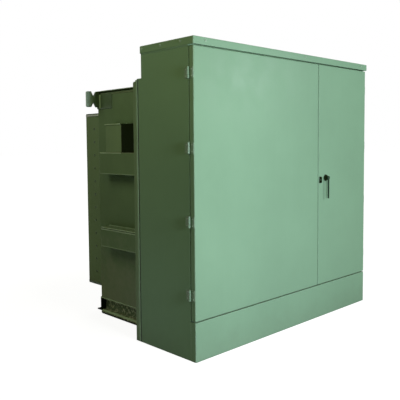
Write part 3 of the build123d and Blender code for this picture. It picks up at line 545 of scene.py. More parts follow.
# Finishes of the nodes by slot, and those of nodes whose names start as given
SLOT_FINISH = {
    "cabinet_paint": cabinet_paint,
    "tank_paint": tank_paint,
    "black_paint": black_paint,
    "handle_steel": handle_finish,
    "hinge_steel": hinge_paint,
    "epoxy": epoxy,
    "tinned_copper": tinned,
    "gauge_steel": bright_steel,
    "brass": brass,
}
OWN_FINISH = {
    "base_channel": base_paint,
    "base_cross": base_paint,
    # Black on the rear hold-down angle is painted shade
    "rear_hold": black_paint,
    "lifting_lug": lug_shade_and_sheen_paint,
    "left_hinge": hinge_paint,
    "right_hinge": hinge_paint,
    "front_plate": plate_paint,
    "fin_bank": fin_paint,
    # Black on the box's front section is painted shade: a dark sheet where shade falls
    "junction_box_front": black_paint,
    "junction_box_lid": pale_highlight_paint,
    "junction_box": box_lit_paint,
}
for part in frame["record"]["subparts"]:
    solid = nodes[part["node"]]
    own = [finish for start, finish in OWN_FINISH.items() if part["node"].startswith(start)]
    if not solid.material_slots:
        solid.data.materials.append(None)
    for slot in solid.material_slots:
        slot.material = own[0] if own else SLOT_FINISH[part["material_slot"]]


# Shapes: points in rows and columns, with the quads that join them
CLOSED_ENDS = np.array((0.0, 1, 1, 0))
BEAD = ((-0.1, -0.1), (1.0, -0.1), (0.88, 0.3), (0.62, 0.62), (0.3, 0.88), (-0.1, 1.0))
SLIM_BEAD = ((-0.1, -0.1), (1.0, -0.1), (0.62, 0.62), (-0.1, 1.0))
SUNK = 0.001


def woven(points, wrap_columns=False):
    """Grid of points joined by quads, each point with its neighbours along and across."""
    rows, columns = points.shape[:2]
    index = np.arange(rows * columns).reshape(rows, columns)
    if wrap_columns:
        index = np.hstack((index, index[:, :1]))
    quads = np.stack((index[:-1, :-1], index[:-1, 1:], index[1:, 1:], index[1:, :-1]), axis=-1)
    return points.reshape(-1, 3), quads.reshape(-1, 4)


def turned(profile, steps=24, lobes=0, depth=0.0):
    """Turned about Z: each (height, radius) goes round a circle, the radius waving by depth in lobes."""
    height, radius = np.array(profile, dtype=float).T
    turn = np.linspace(0, 2 * np.pi, steps, endpoint=False)
    wave = 1 + depth * np.cos(lobes * turn)
    points = np.empty((len(height), steps, 3))
    points[..., 0] = radius[:, None] * np.cos(turn) * wave
    points[..., 1] = radius[:, None] * np.sin(turn) * wave
    points[..., 2] = height[:, None]
    return woven(points, wrap_columns=True)


def ring(major, minor, steps=32, around=10):
    """Round ring in the XY plane: a small circle carried round a large one."""
    turn = np.linspace(0, 2 * np.pi, around + 1)
    return turned(np.column_stack((minor * np.sin(turn), major + minor * np.cos(turn))), steps)


def washer_head(radius, height):
    """Washer-faced hexagon head standing on z = 0."""
    washer = turned(((0, 0), (0, 1.5 * radius), (0.25 * height, 1.5 * radius),
                     (0.32 * height, 1.2 * radius), (0.32 * height, 0)), 20)
    cap = turned(((0, 0), (0, radius), (0.85 * height, radius), (height, 0.84 * radius), (height, 0)), 6)
    return joined(washer, cap)


def pan_head(radius, height):
    """Domed screw head on a short rim: radius cos t, and height (0.3 + 0.7 sin t)."""
    t = np.linspace(0, np.pi / 2, 5)
    dome = np.column_stack((0.3 * height + 0.7 * height * np.sin(t), radius * np.cos(t)))
    return turned(np.vstack(((0, 0), (0, radius), dome)), 16)


def half_round(half_width, height):
    """Section of a half-round strip on a face: width cos t, height sin t, its flat side just sunk in."""
    t = np.linspace(0, np.pi, 9)
    arc = np.column_stack((half_width * np.cos(t), height * np.sin(t)))
    return np.vstack((arc, (-half_width, -SUNK), (half_width, -SUNK)))


def flat_strip(half_width, height):
    """Section of a flat strip on a face, its underside just sunk in."""
    return ((-half_width, -SUNK), (half_width, -SUNK), (half_width, height), (-half_width, height))


def carried(section, path, side, up, size=CLOSED_ENDS):
    """Closed section carried along a path: path + size (a side + b up), with size 0 closing each end."""
    a, b = np.array(section, dtype=float).T
    spread = a[:, None] * np.asarray(side)[..., None, :] + b[:, None] * np.asarray(up)[..., None, :]
    return woven(path[:, None] + size[:, None, None] * spread, wrap_columns=True)


def straight(start, end):
    """Path of a straight run, with each end twice so that a section can close there."""
    return np.array((start, start, end, end), dtype=float)


def level_strip(x, front, rear, z, section):
    """A section carried level from front to rear on a face that looks to the left."""
    return carried(section, straight((x, front, z), (x, rear, z)), UP, LEFT)


def weld(start, end, side, up, leg, pitch=0.009, section=BEAD):
    """Fillet weld between two faces: the section's size swells with |sin| once a ripple and drifts slowly."""
    start, end = np.array(start, dtype=float), np.array(end, dtype=float)
    length = np.linalg.norm(end - start)
    ripples = max(2, round(length / pitch))
    along = np.linspace(0, 1, 2 * ripples + 1)
    swell = 0.86 + 0.16 * np.abs(np.sin(np.pi * ripples * along * 0.999))
    slow = 0.07 * np.sin(23 * along * length + 40 * start[0])
    swell *= 1 + slow + 0.05 * np.sin(61 * along * length + start[2])
    along = np.concatenate(((0,), along, (1,)))
    swell = np.concatenate(((0,), swell, (0,))) * leg
    return carried(section, start + along[:, None] * (end - start), side, up, swell)


def aimed(shape, direction):
    """The shape with its Z axis turned to a direction."""
    points, quads = shape
    forward = np.array(direction, dtype=float)
    helper = np.array((1.0, 0, 0)) if abs(forward[2]) > 0.9 else np.array((0, 0, 1.0))
    across = np.cross(helper, forward)
    across /= np.linalg.norm(across)
    return points @ np.stack((across, np.cross(forward, across), forward)), quads


def joined(*shapes):
    """Several shapes as one list of points and quads."""
    starts = np.cumsum([0] + [len(points) for points, _ in shapes[:-1]])
    return (np.vstack([points for points, _ in shapes]),
            np.vstack([quads + start for (_, quads), start in zip(shapes, starts)]))


def at(shape, *places):
    """The shape once at each place: every point plus every place."""
    points, quads = shape
    places = np.array(places, dtype=float).reshape(-1, 3)
    shift = np.arange(len(places))[:, None, None] * len(points)
    return (places[:, None] + points).reshape(-1, 3), (quads + shift).reshape(-1, 4)


def facing_doors(shape, centres, y):
    """The shape turned to face forward, once at each centre, standing at the depth y."""
    places = np.array(centres, dtype=float)
    places[:, 1] = y
    return at(aimed(shape, FORWARD), *places)


def mirrored(shape):
    """The shape's mirror image across the middle of the transformer."""
    points, quads = shape
    return points * (-1, 1, 1), quads[:, ::-1]


def both_sides(shape):
    """The shape and its mirror image."""
    return joined(shape, mirrored(shape))


def row_of(node, count, pitch):
    """Centres of a node's like parts: a row along X at its middle height, at its front."""
    low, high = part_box(node)
    steps = (np.arange(count) - (count - 1) / 2) * pitch
    return np.array([((low[0] + high[0]) / 2 + step, low[1], (low[2] + high[2]) / 2) for step in steps])


def piece(name, shape, finish, body="root", crease=35):
    """Object at the origin from a shape: touching points merged, faces outwards, sharp past the crease."""
    points, quads = shape
    mesh = bpy.data.meshes.new(name)
    mesh.from_pydata(points.tolist(), [], quads.tolist())
    work = bmesh.new()
    work.from_mesh(mesh)
    bmesh.ops.remove_doubles(work, verts=work.verts, dist=1e-6)
    bmesh.ops.recalc_face_normals(work, faces=work.faces)
    work.to_mesh(mesh)
    work.free()
    mesh.shade_smooth()
    mesh.set_sharp_from_angle(angle=math.radians(crease))
    mesh.materials.append(finish)
    made = bpy.data.objects.new(name, mesh)
    bpy.context.scene.collection.objects.link(made)
    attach(made, body)
    return made


# Cabinet trim
def hood_screws():
    """Three screws down each side skirt and three across the front skirt."""
    height = hood_high[2] - 0.018
    behind_doors = (0.0985, 0.2695, 0.4385)
    across = (-0.834, 0.118, 0.838)
    head = washer_head(0.0055, 0.0045)
    side = at(aimed(head, LEFT), *[(hood_low[0], door_face + y, height) for y in behind_doors])
    front = at(aimed(head, FORWARD), *[(x, hood_low[1], height) for x in across])
    piece("hood_screws", joined(both_sides(side), front), screw_paint)


def skirt_sealant():
    """Painted sealant under the hood's side skirts: a hollow fillet from the side sheet out to the skirt."""
    reach = side_face - hood_low[0] - 0.0005
    drop = 1.3 * reach
    t = np.linspace(0, np.pi / 2, 7)
    hollow = np.column_stack((reach * (1 - np.sin(t)), -drop * (1 - np.cos(t))))
    section = np.vstack((hollow, (-SUNK, -drop), (-SUNK, 0.0005), (reach, 0.0005)))
    front, rear = door_face + 0.045, hood_high[1] - 0.004
    run = straight((side_face, front, hood_low[2]), (side_face, rear, hood_low[2]))
    piece("skirt_sealant", both_sides(carried(section, run, LEFT, UP)), cabinet_paint)


def hinge_screws():
    """Two screws through each leaf of each hinge."""
    middles = np.linspace(door_low[2] + HINGE_END_INSET, door_high[2] - HINGE_END_INSET, HINGE_COUNT)
    door_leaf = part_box("left_hinge_door_leaves")[0][1] + LEAF_WIDTH / 2
    frame_leaf = 2 * hinge_y - door_leaf
    face = door_low[0] - LEAF_THICKNESS
    head = aimed(pan_head(0.0045, 0.0022), LEFT)
    for name, y, body in (("door", door_leaf, "{}_door"), ("frame", frame_leaf, "root")):
        heads = at(head, *[(face, y, z + away) for z in middles for away in (-0.019, 0.019)])
        for side, shape in (("left", heads), ("right", mirrored(heads))):
            piece(f"{side}_{name}_leaf_screws", shape, screw_paint, body.format(side))


def door_seal():
    """Rubber strip on the jambs and the header: a half-round carried up, round both corners, and down."""
    side, bend = 0.897, 0.03
    low, high = door_low[2] + 0.006, door_high[2] - 0.018
    quarter = np.linspace(0, np.pi / 2, 9)
    corner = np.column_stack((-side + bend - bend * np.cos(quarter), high - bend + bend * np.sin(quarter)))
    half = np.vstack(((-side, low), (-side, low), corner))
    line = np.vstack((half, (half * (-1, 1))[::-1]))
    path = np.column_stack((line[:, 0], np.full(len(line), jamb_face), line[:, 1]))
    heading = np.gradient(path, axis=0)
    heading[:2], heading[-2:] = UP, DOWN
    heading /= np.linalg.norm(heading, axis=1)[:, None]
    size = np.ones(len(path))
    size[[0, -1]] = 0
    strip = carried(half_round(0.006, 0.0045), path, np.cross(FORWARD, heading), FORWARD, size)
    piece("door_seal", strip, rubber)


# Tank trim
def stiffener_welds():
    """Beads round each stiffener: along its top, its bottom and its rear end."""
    wall, front = tank_low[:2]
    beads = []
    for level in ("upper", "lower"):
        low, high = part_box(f"side_stiffener_{level}_left")
        face, rear = low[0], high[1]
        beads += [
            weld((wall, front, high[2]), (wall, rear, high[2]), LEFT, UP, 0.008),
            weld((wall, rear, low[2]), (wall, front, low[2]), LEFT, DOWN, 0.008),
            weld((wall, rear, high[2]), (wall, rear, low[2]), LEFT, BACK, 0.008),
            weld((face, front, low[2] + BAND_THICKNESS), (face, front, high[2] - BAND_THICKNESS),
                 LEFT, BACK, 0.006),
        ]
    # Pale bead paint: a painted highlight on the welds
    piece("stiffener_welds", both_sides(joined(*beads)), bead_highlight_paint)


def stiffener_seams():
    """Rolled top edge of each stiffener and a seam under the lower one's, in pale paint as a painted
    highlight, with a dark strip between as painted shade; pale lips on the bottom edges are painted
    highlight too.
    """
    low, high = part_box("side_stiffener_lower_left")
    upper_low, upper_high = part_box("side_stiffener_upper_left")
    box_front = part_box("junction_box")[0][1]
    face, upper_face = low[0], upper_low[0]
    front, rear = low[1] + 0.004, high[1] - 0.004
    lip = half_round(0.003, 0.0015)
    edges = joined(
        level_strip(face, front, rear, high[2] - 0.0032, half_round(0.003, 0.002)),
        level_strip(upper_face, box_front, rear, upper_high[2] - 0.0045, half_round(0.0042, 0.002)),
    )
    lips = joined(
        level_strip(face, front, rear, low[2] + 0.0035, lip),
        level_strip(upper_face, front, rear, upper_low[2] + 0.0035, lip),
    )
    seam = level_strip(face, front, rear, high[2] - 0.0158, half_round(0.0038, 0.0025))
    # A dark strip between the top edge and the seam: painted shade
    sealant = level_strip(face, front, rear, high[2] - 0.009, flat_strip(0.0025, 0.0006))
    piece("stiffener_edges", both_sides(edges), pale_highlight_paint)
    piece("stiffener_lips", both_sides(lips), bead_highlight_paint)
    piece("stiffener_seams", both_sides(seam), pale_highlight_paint)
    piece("stiffener_shade_strip", both_sides(sealant), dark_weld_and_shade)


def base_edges():
    """Pale strip on the upper round of each base runner, a painted highlight, and a black strip on
    its lower round, painted shade.

    Both are arcs of the round, in degrees from upright towards the outside, carried front to rear.
    """
    low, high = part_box("base_channel_left")
    front, rear = low[1] + 0.004, high[1] - 0.004
    upper = RUNNER_HEIGHT - RUNNER_RADIUS
    for name, start, end, z, finish in (("runner_highlight_strips", 28, 84, upper, pale_highlight_paint),
                                        ("runner_shade_strips", -62, 5, RUNNER_RADIUS, black_paint)):
        t = np.radians(np.linspace(start, end, 7))
        arc = np.column_stack((np.sin(t), np.cos(t)))
        section = np.vstack((arc * (RUNNER_RADIUS + 0.0007), arc[::-1] * (RUNNER_RADIUS - SUNK)))
        strip = level_strip(low[0] + RUNNER_RADIUS, front, rear, z, section)
        piece(name, both_sides(strip), finish)


def tank_welds():
    """Beads down the front plate's corners, round under the cover, and along the base."""
    wall, front, low = tank_low
    rear, high = tank_high[1:]
    slant = 0.35
    beads = joined(
        weld((wall, front, high), (wall, front, low), LEFT, BACK, 0.008),
        weld((wall, front, high), (wall, rear, high), LEFT, DOWN, 0.006),
        weld((wall, rear, high), (0, rear, high), BACK, DOWN, 0.006),
    )
    base_beads = joined(
        weld((wall, front, low), (wall, rear, low), (-slant, 0, -slant), (-slant, 0, slant), 0.009),
        weld((wall, rear, low), (0, rear, low), (0, slant, -slant), (0, slant, slant), 0.009),
    )
    piece("tank_welds", both_sides(beads), tank_paint)
    # The beads along the base are in pale paint, a painted highlight
    piece("base_welds", both_sides(base_beads), pale_highlight_paint)


def cover_rim():
    """Black edging round the cover's rim, partly painted shade: a flat strip with rounded edges along
    left, rear and right.
    """
    low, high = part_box("tank_cover")
    rim = tank_high[2]
    side, front, rear = low[0], low[1] + 0.002, high[1]
    path = np.array([(side, front, rim), (side, front, rim), (side, rear, rim), (-side, rear, rim),
                     (-side, front, rim), (-side, front, rim)])
    out = np.array([LEFT, LEFT, (-1, 1, 0), (1, 1, 0), RIGHT, RIGHT], dtype=float)
    section = ((-0.002, 0.006), (0.0018, 0.007), (0.0026, 0.009), (0.0026, 0.015), (0.0018, 0.017),
               (-0.002, 0.018))
    strip = carried(section, path, out, UP, np.array((0.0, 1, 1, 1, 1, 0)))
    piece("cover_edging", strip, rim_edging_and_shade)


def side_joints():
    """Rolled edge where each side sheet meets the tank's front plate, and the dark sealant beside it."""
    low, top = 0.004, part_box("front_plate")[1][2] - 0.004
    for name, y, section, finish in (
            ("rolled_side_edges", plate_face + 0.014, half_round(0.009, 0.005), plate_paint),
            ("side_joint_sealant", plate_face, flat_strip(0.003, 0.0006), rubber)):
        strip = carried(section, straight((side_face, y, low), (side_face, y, top)), BACK, LEFT)
        piece(name, both_sides(strip), finish)


def lug_welds():
    """Beads round each lug's pad, and down both faces of the lug plate."""
    wall = tank_low[0]
    pad_face = wall - LUG_PAD_THICKNESS
    pad_foot = tank_high[2] - LUG_PAD_HEIGHT
    beads, plate_beads = [], []
    for end, plate in (("rear", tank_high[1] - LUG_REAR_SETBACK), ("front", tank_low[1] + LUG_FRONT_SETBACK)):
        low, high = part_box(f"lifting_lug_{end}_left")
        pad_top, plate_top = high[2] - 0.02, high[2] - 0.022
        front, rear = plate - LUG_THICKNESS / 2, plate + LUG_THICKNESS / 2
        beads += [
            weld((wall, low[1], pad_foot), (wall, high[1], pad_foot), LEFT, DOWN, 0.006),
            weld((wall, low[1], pad_top), (wall, low[1], pad_foot), LEFT, FORWARD, 0.006),
            weld((wall, high[1], pad_foot), (wall, high[1], pad_top), LEFT, BACK, 0.006),
        ]
        plate_beads += [
            weld((pad_face, front, plate_top), (pad_face, front, low[2]), LEFT, FORWARD, 0.008),
            weld((pad_face, rear, low[2]), (pad_face, rear, plate_top), LEFT, BACK, 0.008),
        ]
    piece("lug_pad_welds", both_sides(joined(*beads)), lug_shade_and_sheen_paint)
    # The beads down the lug plates are in pale paint, a painted highlight
    piece("lug_plate_welds", both_sides(joined(*plate_beads)), pale_highlight_paint)


def fin_welds():
    """Root beads, seam bars, rims and spot welds of each bank of fins, alike on both faces of a fin.
    The upper seam bars are near white, a painted highlight; the rims and lower bars are dark, painted
    shade.
    """
    wall = tank_high[1]
    spots_behind_wall, spots_down_fin = 0.15, 12
    dimple = turned(((0.0, 0.0098), (0.0012, 0.0085), (0.0016, 0.0068), (0.0004, 0.004), (0.0003, 0)), 10)
    bar = ((-0.0005, -0.0065), (0.0022, -0.0055), (0.0032, -0.002), (0.0032, 0.002), (0.0022, 0.0055),
           (-0.0005, 0.0065))
    rim = ((-0.0005, -0.0033), (0.0012, -0.0028), (0.0012, 0.0028), (-0.0005, 0.0033))
    for bank in ("left", "centre", "right"):
        low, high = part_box(f"fin_bank_{bank}")
        inset = FIN_THICKNESS / 2 + FIN_STRIP_PROUD
        count = round((high[0] - low[0] - 2 * inset) / FIN_PITCH) + 1
        middles = low[0] + inset + FIN_PITCH * np.arange(count)
        heights = np.linspace(low[2] + 0.101, high[2] - 0.115, spots_down_fin)
        front, rear = wall + 0.004, high[1] - 0.012
        roots, spots, bars, rims = [], [], [], []
        for sign, out in ((-1, LEFT), (1, RIGHT)):
            faces = middles + sign * FIN_THICKNESS / 2
            bead = weld((0, wall, low[2]), (0, wall, high[2]), out, BACK, 0.005, 0.014, SLIM_BEAD)
            roots.append(at(bead, *[(x, 0, 0) for x in faces]))
            places = [(x, wall + spots_behind_wall, z) for x in faces for z in heights]
            spots.append(at(aimed(dimple, out), *places))
            for z, section, proud, made in ((low[2] + FIN_STRIP_MIDDLE, bar, FIN_STRIP_PROUD, rims),
                                            (high[2] - FIN_STRIP_MIDDLE, bar, FIN_STRIP_PROUD, bars),
                                            (high[2] - 0.0035, rim, 0.0, rims)):
                strip = carried(section, straight((0, front, z), (0, rear, z)), out, UP)
                made.append(at(strip, *[(x + sign * proud, 0, 0) for x in faces]))
        piece(f"fin_root_welds_{bank}", joined(*roots), fin_paint)
        piece(f"fin_spot_welds_{bank}", joined(*spots), dark_weld_and_shade)
        piece(f"fin_seam_bars_{bank}", joined(*bars), fin_seam_highlight)
        piece(f"fin_rims_{bank}", joined(*rims), dark_weld_and_shade)


def box_fasteners():
    """Screws in the junction box's lid, the lid's rolled hem, and a bead where the box meets the tank."""
    low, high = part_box("junction_box")
    lid_low, lid_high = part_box("junction_box_lid")
    places = [(x, y, lid_high[2]) for x in (lid_low[0] + 0.014, lid_high[0] - 0.014)
              for y in (lid_low[1] + 0.02, lid_high[1] - 0.02)]
    hem = level_strip(lid_low[0], lid_low[1] + 0.001, lid_high[1] - 0.001, lid_high[2] - 0.0035,
                      half_round(0.0034, 0.002))
    slant = 0.4
    beads = joined(
        weld((high[0], high[1], low[2]), (high[0], high[1], high[2]), LEFT, BACK, 0.004),
        weld((low[0], low[1], low[2]), (low[0], high[1], low[2]), (-slant, 0, -slant),
             (-slant, 0, slant), 0.005),
        weld((low[0], high[1], low[2]), (high[0], high[1], low[2]), BACK, UP, 0.005),
    )
    piece("box_lid_screws", at(pan_head(0.006, 0.003), *places), screw_paint)
    # The hem is in pale paint, a painted highlight
    piece("box_lid_hem", hem, pale_highlight_paint)
    piece("box_welds", beads, tank_paint)


# Terminals, gauges and valve behind the doors
def hv_bushing_trim():
    """Clamp bolts, a gasket, a locking ring and a contact tip on each high-voltage bushing."""
    centres = row_of("hv_bushings", 3, HV_PITCH)
    bolt_circle = 0.053
    turn = np.linspace(0, 2 * np.pi, 6, endpoint=False) + np.pi / 6
    circle = bolt_circle * np.column_stack((np.cos(turn), np.zeros(6), np.sin(turn)))
    bolt_places = (centres[:, None] + circle).reshape(-1, 3)
    bolts = facing_doors(washer_head(0.0052, 0.006), bolt_places, plate_face - HV_FLANGE_THICKNESS)
    rings = facing_doors(ring(0.0445, 0.0035), centres, plate_face - 0.036)
    gaskets = facing_doors(ring(0.0625, 0.0035), centres, plate_face - 0.002)
    tip = turned(((0, 0), (0, 0.017), (0.002, 0.0185), (0.005, 0.017), (0.005, 0.009),
                  (0.011, 0.0075), (0.012, 0)), 24)
    piece("hv_flange_bolts", bolts, bright_steel)
    piece("hv_locking_rings", rings, bright_steel)
    piece("hv_gaskets", gaskets, rubber)
    piece("hv_contact_tips", at(aimed(tip, FORWARD), *centres), tinned)


def fuse_trim():
    """Ribbed grip round each fuse holder's cap, its pulling eye, and a nut against the plate."""
    centres = row_of("fuse_holders", 3, FUSE_PITCH)
    front = centres[0, 1]
    eye_reach = 0.02
    grip = turned(((0.004, 0.03), (0.005, 0.0362), (0.008, 0.0378), (0.028, 0.0378), (0.031, 0.0362),
                   (0.032, 0.03)), 72, lobes=18, depth=0.018)
    stem = turned(((-0.002, 0), (-0.002, 0.011), (0.003, 0.009), (0.006, 0.005), (0.010, 0.0045),
                   (0.010, 0)), 16)
    nut = turned(((0, 0.02), (0, 0.042), (0.011, 0.042), (0.013, 0.038), (0.013, 0.02)), 6)
    grips = facing_doors(grip, centres, front + FUSE_CAP_LENGTH)
    eyes = at(aimed(ring(0.013, 0.003, 24, 8), RIGHT), *(centres - (0, eye_reach, 0)))
    stems = at(aimed(stem, FORWARD), *centres)
    piece("fuse_cap_grips", grips, black_paint)
    piece("fuse_pulling_eyes", joined(eyes, stems), bright_steel)
    piece("fuse_nuts", facing_doors(nut, centres, plate_face), brass)


def lv_bushing_trim():
    """Gasket against the plate, clamp collar and stud hub of each low-voltage bushing."""
    centres = row_of("lv_bushings", 4, LV_PITCH)
    gasket = turned(((0, 0.03), (0, 0.05), (0.002, 0.0515), (0.004, 0.05), (0.004, 0.03)), 32)
    collar = turned(((0.0, 0.04), (0.0, 0.047), (0.003, 0.0485), (0.011, 0.0485), (0.014, 0.047),
                     (0.014, 0.04)), 32)
    hub = turned(((0, 0.01), (0, 0.0235), (0.004, 0.0245), (0.016, 0.0215), (0.018, 0.019),
                  (0.018, 0)), 32)
    piece("lv_gaskets", facing_doors(gasket, centres, plate_face), rubber)
    piece("lv_collars", facing_doors(collar, centres, plate_face - 0.006), brass)
    piece("lv_stud_hubs", at(aimed(hub, FORWARD), *centres), tinned)


def dial_marks():
    """Raised marks round a dial, every fifth longer and broader: low blocks closed above and below."""
    count, outer, base, top = 31, 0.0425, 0.0006, 0.0011
    sweep = np.radians(np.linspace(-135, 135, count))
    longer = np.arange(count) % 5 == 0
    inner = np.where(longer, 0.034, 0.038)[:, None]
    half_width = np.where(longer, 0.0009, 0.0005)[:, None]
    radial = np.column_stack((np.sin(sweep), np.cos(sweep)))
    aside = half_width * np.column_stack((np.cos(sweep), -np.sin(sweep)))
    corners = np.stack((inner * radial - aside, inner * radial + aside,
                        outer * radial + aside, outer * radial - aside), axis=1)
    marks = np.zeros((count, 4, 4, 3))
    marks[..., :2] = corners[:, None]
    marks[..., 2] = np.array((base, base, top, top))[None, :, None]
    marks[:, (0, 3), :, :2] = np.mean(corners, axis=1)[:, None, None]
    return joined(*[woven(mark, wrap_columns=True) for mark in marks])


def dial_pointer(degrees):
    """Blade on a hub, turned clockwise from upright: four corners at each width, closed at both ends."""
    angle = math.radians(degrees)
    along, half_width = np.array(((-0.012, 0.0016), (-0.004, 0.0024), (0.0, 0.0024), (0.038, 0.0005))).T
    middle = along[:, None] * (math.sin(angle), math.cos(angle))
    aside = half_width[:, None] * (math.cos(angle), -math.sin(angle))
    outline = np.stack((middle + aside, middle - aside), axis=1)
    lower = np.concatenate((outline, np.full((4, 2, 1), 0.0011)), axis=2)
    upper = np.concatenate((outline[:, ::-1], np.full((4, 2, 1), 0.0016)), axis=2)
    blade = np.concatenate((lower, upper), axis=1)
    core = blade.mean(axis=1, keepdims=True).repeat(4, axis=1)
    blade = np.concatenate((core[:1], blade, core[-1:]))
    hub = turned(((0.0008, 0), (0.0008, 0.0048), (0.0018, 0.0045), (0.0022, 0)), 16)
    return joined(woven(blade, wrap_columns=True), hub)


def gauge_trim():
    """Bezel, face, marks, pointer and glass of each round gauge."""
    centres = row_of("gauges", 3, GAUGE_PITCH)
    bezel = turned(((-0.012, 0.05), (-0.012, 0.0535), (0.003, 0.0535), (0.006, 0.0515), (0.006, 0.0475),
                    (0.003, 0.0462), (0.0, 0.0462), (0.0, 0.05)), 48)
    face = turned(((0.0, 0.0), (0.0, 0.047), (0.0008, 0.047), (0.0008, 0.0)), 48)
    t = np.linspace(0, np.pi / 2, 7)
    dome = np.column_stack((0.0025 + 0.0035 * np.sin(t), 0.0465 * np.cos(t)))
    pane = turned(np.vstack(((0.0018, 0), (0.0018, 0.0465), dome)), 48)
    for place, degrees, name in zip(centres, (-62, 18, -20), ("level", "pressure", "temperature")):
        pointer = at(aimed(dial_pointer(degrees), FORWARD), place)
        piece(f"{name}_gauge_pointer", pointer, dial_red)
    for name, shape, finish in (("bezels", bezel, bright_steel), ("faces", face, dial_white),
                                ("marks", dial_marks(), dial_black), ("glasses", pane, dial_glass)):
        piece(f"gauge_{name}", at(aimed(shape, FORWARD), *centres), finish)


def tap_changer_trim():
    """Position plate behind the tap changer's knob, with five marks and a lock screw."""
    x, _, z = row_of("tap_changer", 1, 0)[0]
    centre = np.array((x, plate_face, z))
    plate = turned(((0, 0.03), (0, 0.06), (0.0015, 0.0605), (0.003, 0.0595), (0.003, 0.03)), 48)
    thickness, mark_circle = 0.003, 0.051
    turn = np.radians((-60, -30, 0, 30, 60))
    marks = centre + np.column_stack((
        mark_circle * np.sin(turn), np.full(5, -thickness), mark_circle * np.cos(turn)
    ))
    screw = centre - (0, thickness, mark_circle)
    for name, shape, places, finish, slot in (
            ("tap_position_plate", plate, [centre], bright_steel, "gauge_steel"),
            ("tap_position_marks", pan_head(0.003, 0.0012), marks, dial_black, "black_paint"),
            ("tap_lock_screw", washer_head(0.0045, 0.005), [screw], screw_steel, "hinge_steel")):
        piece(name, at(aimed(shape, FORWARD), *places), finish)


def drain_valve_trim():
    """Hexagon cap on the valve's mouth, packing nut on its stem, and a gripped rim on its wheel."""
    low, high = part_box("drain_valve")
    middle = (low[0] + high[0]) / 2
    stem_y = plate_face - DRAIN_STEM_REACH
    cap = turned(((-0.012, 0.02), (-0.012, 0.0285), (0.004, 0.0285), (0.007, 0.025), (0.007, 0)), 6)
    square = turned(((0.006, 0.0), (0.006, 0.009), (0.015, 0.0085), (0.016, 0.0)), 4)
    mouth = at(aimed(joined(cap, square), FORWARD), (middle, low[1], DRAIN_HEIGHT))
    packing = turned(((-0.002, 0.01), (-0.002, 0.0185), (0.012, 0.0185), (0.015, 0.016), (0.015, 0.01)), 6)
    rim = turned(((-0.001, 0.03), (-0.0005, 0.034), (0.003, 0.0362), (0.009, 0.0362), (0.0125, 0.034),
                  (0.013, 0.03)), 64, lobes=8, depth=0.03)
    nut = turned(((0, 0), (0, 0.008), (0.006, 0.008), (0.0075, 0.0065), (0.0075, 0)), 6)
    wheel_underside = high[2] - DRAIN_WHEEL_THICKNESS
    piece("drain_cap", mouth, brass)
    piece("drain_packing_nut", at(packing, (middle, stem_y, DRAIN_HEIGHT + 0.026)), brass)
    piece("drain_wheel_rim", at(rim, (middle, stem_y, wheel_underside)), dial_red)
    piece("drain_wheel_nut", at(nut, (middle, stem_y, high[2])), bright_steel)


def latch_trim():
    """Flat rose under the latch's boss."""
    centre = row_of("handle_escutcheon", 1, 0)
    rose = turned(((0, 0.015), (0, 0.0235), (0.0012, 0.0235), (0.0022, 0.0215), (0.0022, 0.015)), 40)
    piece("latch_rose", facing_doors(rose, centre, door_face), handle_finish, "right_door")


hood_screws()
skirt_sealant()
hinge_screws()
door_seal()
stiffener_welds()
stiffener_seams()
base_edges()
tank_welds()
cover_rim()
side_joints()
lug_welds()
fin_welds()
box_fasteners()
hv_bushing_trim()
fuse_trim()
lv_bushing_trim()
gauge_trim()
tap_changer_trim()
drain_valve_trim()
latch_trim()

# Studio: ground and background that the eye sees as white, and seven soft lamps
WHITE = (1, 1, 1, 1)
DIM_WARM = (0.045, 0.038, 0.0, 1)
GROUND_REACH = 60.0
GROUND_TINT = (0.25, 0.25, 0.16, 1)
GROUND_SEEN = (0.3, 0.3, 0.3, 1)
GLOW_NEAR = 0.92
GLOW_RISE = 0.12


def eye_ray(tree):
    """1 for rays from the camera, a mirror or glass."""
    seen = tree.nodes.new("ShaderNodeLightPath").outputs
    direct = math_node(tree, "MAXIMUM", seen["Is Camera Ray"], seen["Is Glossy Ray"])
    return math_node(tree, "MAXIMUM", direct, seen["Is Transmission Ray"])


def background():
    """World: white where it is looked at or mirrored, dim warm light on the object."""
    world = bpy.data.worlds.new("studio")
    world.use_nodes = True
    bpy.context.scene.world = world
    tree = world.node_tree
    colour = mix_colour(tree, eye_ray(tree), DIM_WARM, WHITE)
    tree.links.new(colour, tree.nodes["Background"].inputs["Color"])


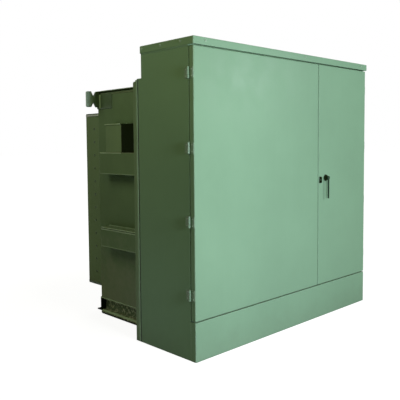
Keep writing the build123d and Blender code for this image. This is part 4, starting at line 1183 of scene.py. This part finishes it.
def floor():
    """Pale ground, lifted to white for the eye except where the object shades it."""
    mesh = bpy.data.meshes.new("studio_floor")
    corners = np.array([(-1, -1, 0), (1, -1, 0), (1, 1, 0), (-1, 1, 0)]) * GROUND_REACH
    mesh.from_pydata(corners.tolist(), [], [(0, 1, 2, 3)])
    ground = bpy.data.objects.new("studio_floor", mesh)
    bpy.context.scene.collection.objects.link(ground)
    material, tree, shader = new_material("studio_floor", 0.0)
    shader["Roughness"].default_value = 0.9
    shader["Emission Strength"].default_value = 1.0
    looked = eye_ray(tree)
    tree.links.new(mix_colour(tree, looked, GROUND_TINT, GROUND_SEEN), shader["Base Color"])
    away = tree.nodes.new("ShaderNodeVectorMath")
    away.operation = "LENGTH"
    tree.links.new(object_place(tree), away.inputs[0])
    far = ramp(tree, away.outputs["Value"], 1.3, 3.5)
    lift = math_node(tree, "MULTIPLY_ADD", far, GLOW_RISE, GLOW_NEAR)
    glow = math_node(tree, "MULTIPLY", lift, looked)
    tree.links.new(grey(tree, glow), shader["Emission Color"])
    mesh.materials.append(material)


def lamp(name, place, aim, size, power, colour):
    """Square soft lamp turned towards a point, unseen by the camera."""
    data = bpy.data.lights.new(name, "AREA")
    data.shape = "SQUARE"
    data.size = size
    data.energy = power
    data.color = colour
    lit = bpy.data.objects.new(name, data)
    lit.location = place
    lit.rotation_euler = (Vector(aim) - Vector(place)).to_track_quat("-Z", "Y").to_euler()
    lit.visible_camera = False
    bpy.context.scene.collection.objects.link(lit)


background()
floor()
# Three lamps in front light the doors, three on the left the side in shade, and one behind the fins
lamp("key_light", (-1.0, -3.2, 1.35), (-1.5, -0.6, 0.9), 0.8, 60, (0.91, 0.96, 1.0))
lamp("right_light", (2.4, -3.3, 2.05), (0.3, -0.7, 0.9), 0.3, 62, (0.87, 0.97, 1.0))
lamp("low_light", (-0.6, -3.2, 0.3), (-0.6, -0.6, 0.3), 0.8, 22, (0.62, 0.54, 1.0))
lamp("side_light", (-1.9, -0.9, 2.0), (-0.85, 0.2, 1.6), 0.6, 1.5, (1.0, 0.9, 0.35))
lamp("top_light", (-2.4, 0.6, 2.7), (-0.8, 0.2, 1.3), 1.2, 7.5, (1.0, 0.95, 0.72))
lamp("side_low_light", (-1.6, -0.3, 0.14), (-0.8, -0.3, 0.14), 0.5, 0.5, (0.8, 0.75, 1.0))
lamp("back_light", (1.9, 3.4, 2.7), (0.0, 0.3, 0.9), 2.0, 40, (0.95, 0.98, 1.0))
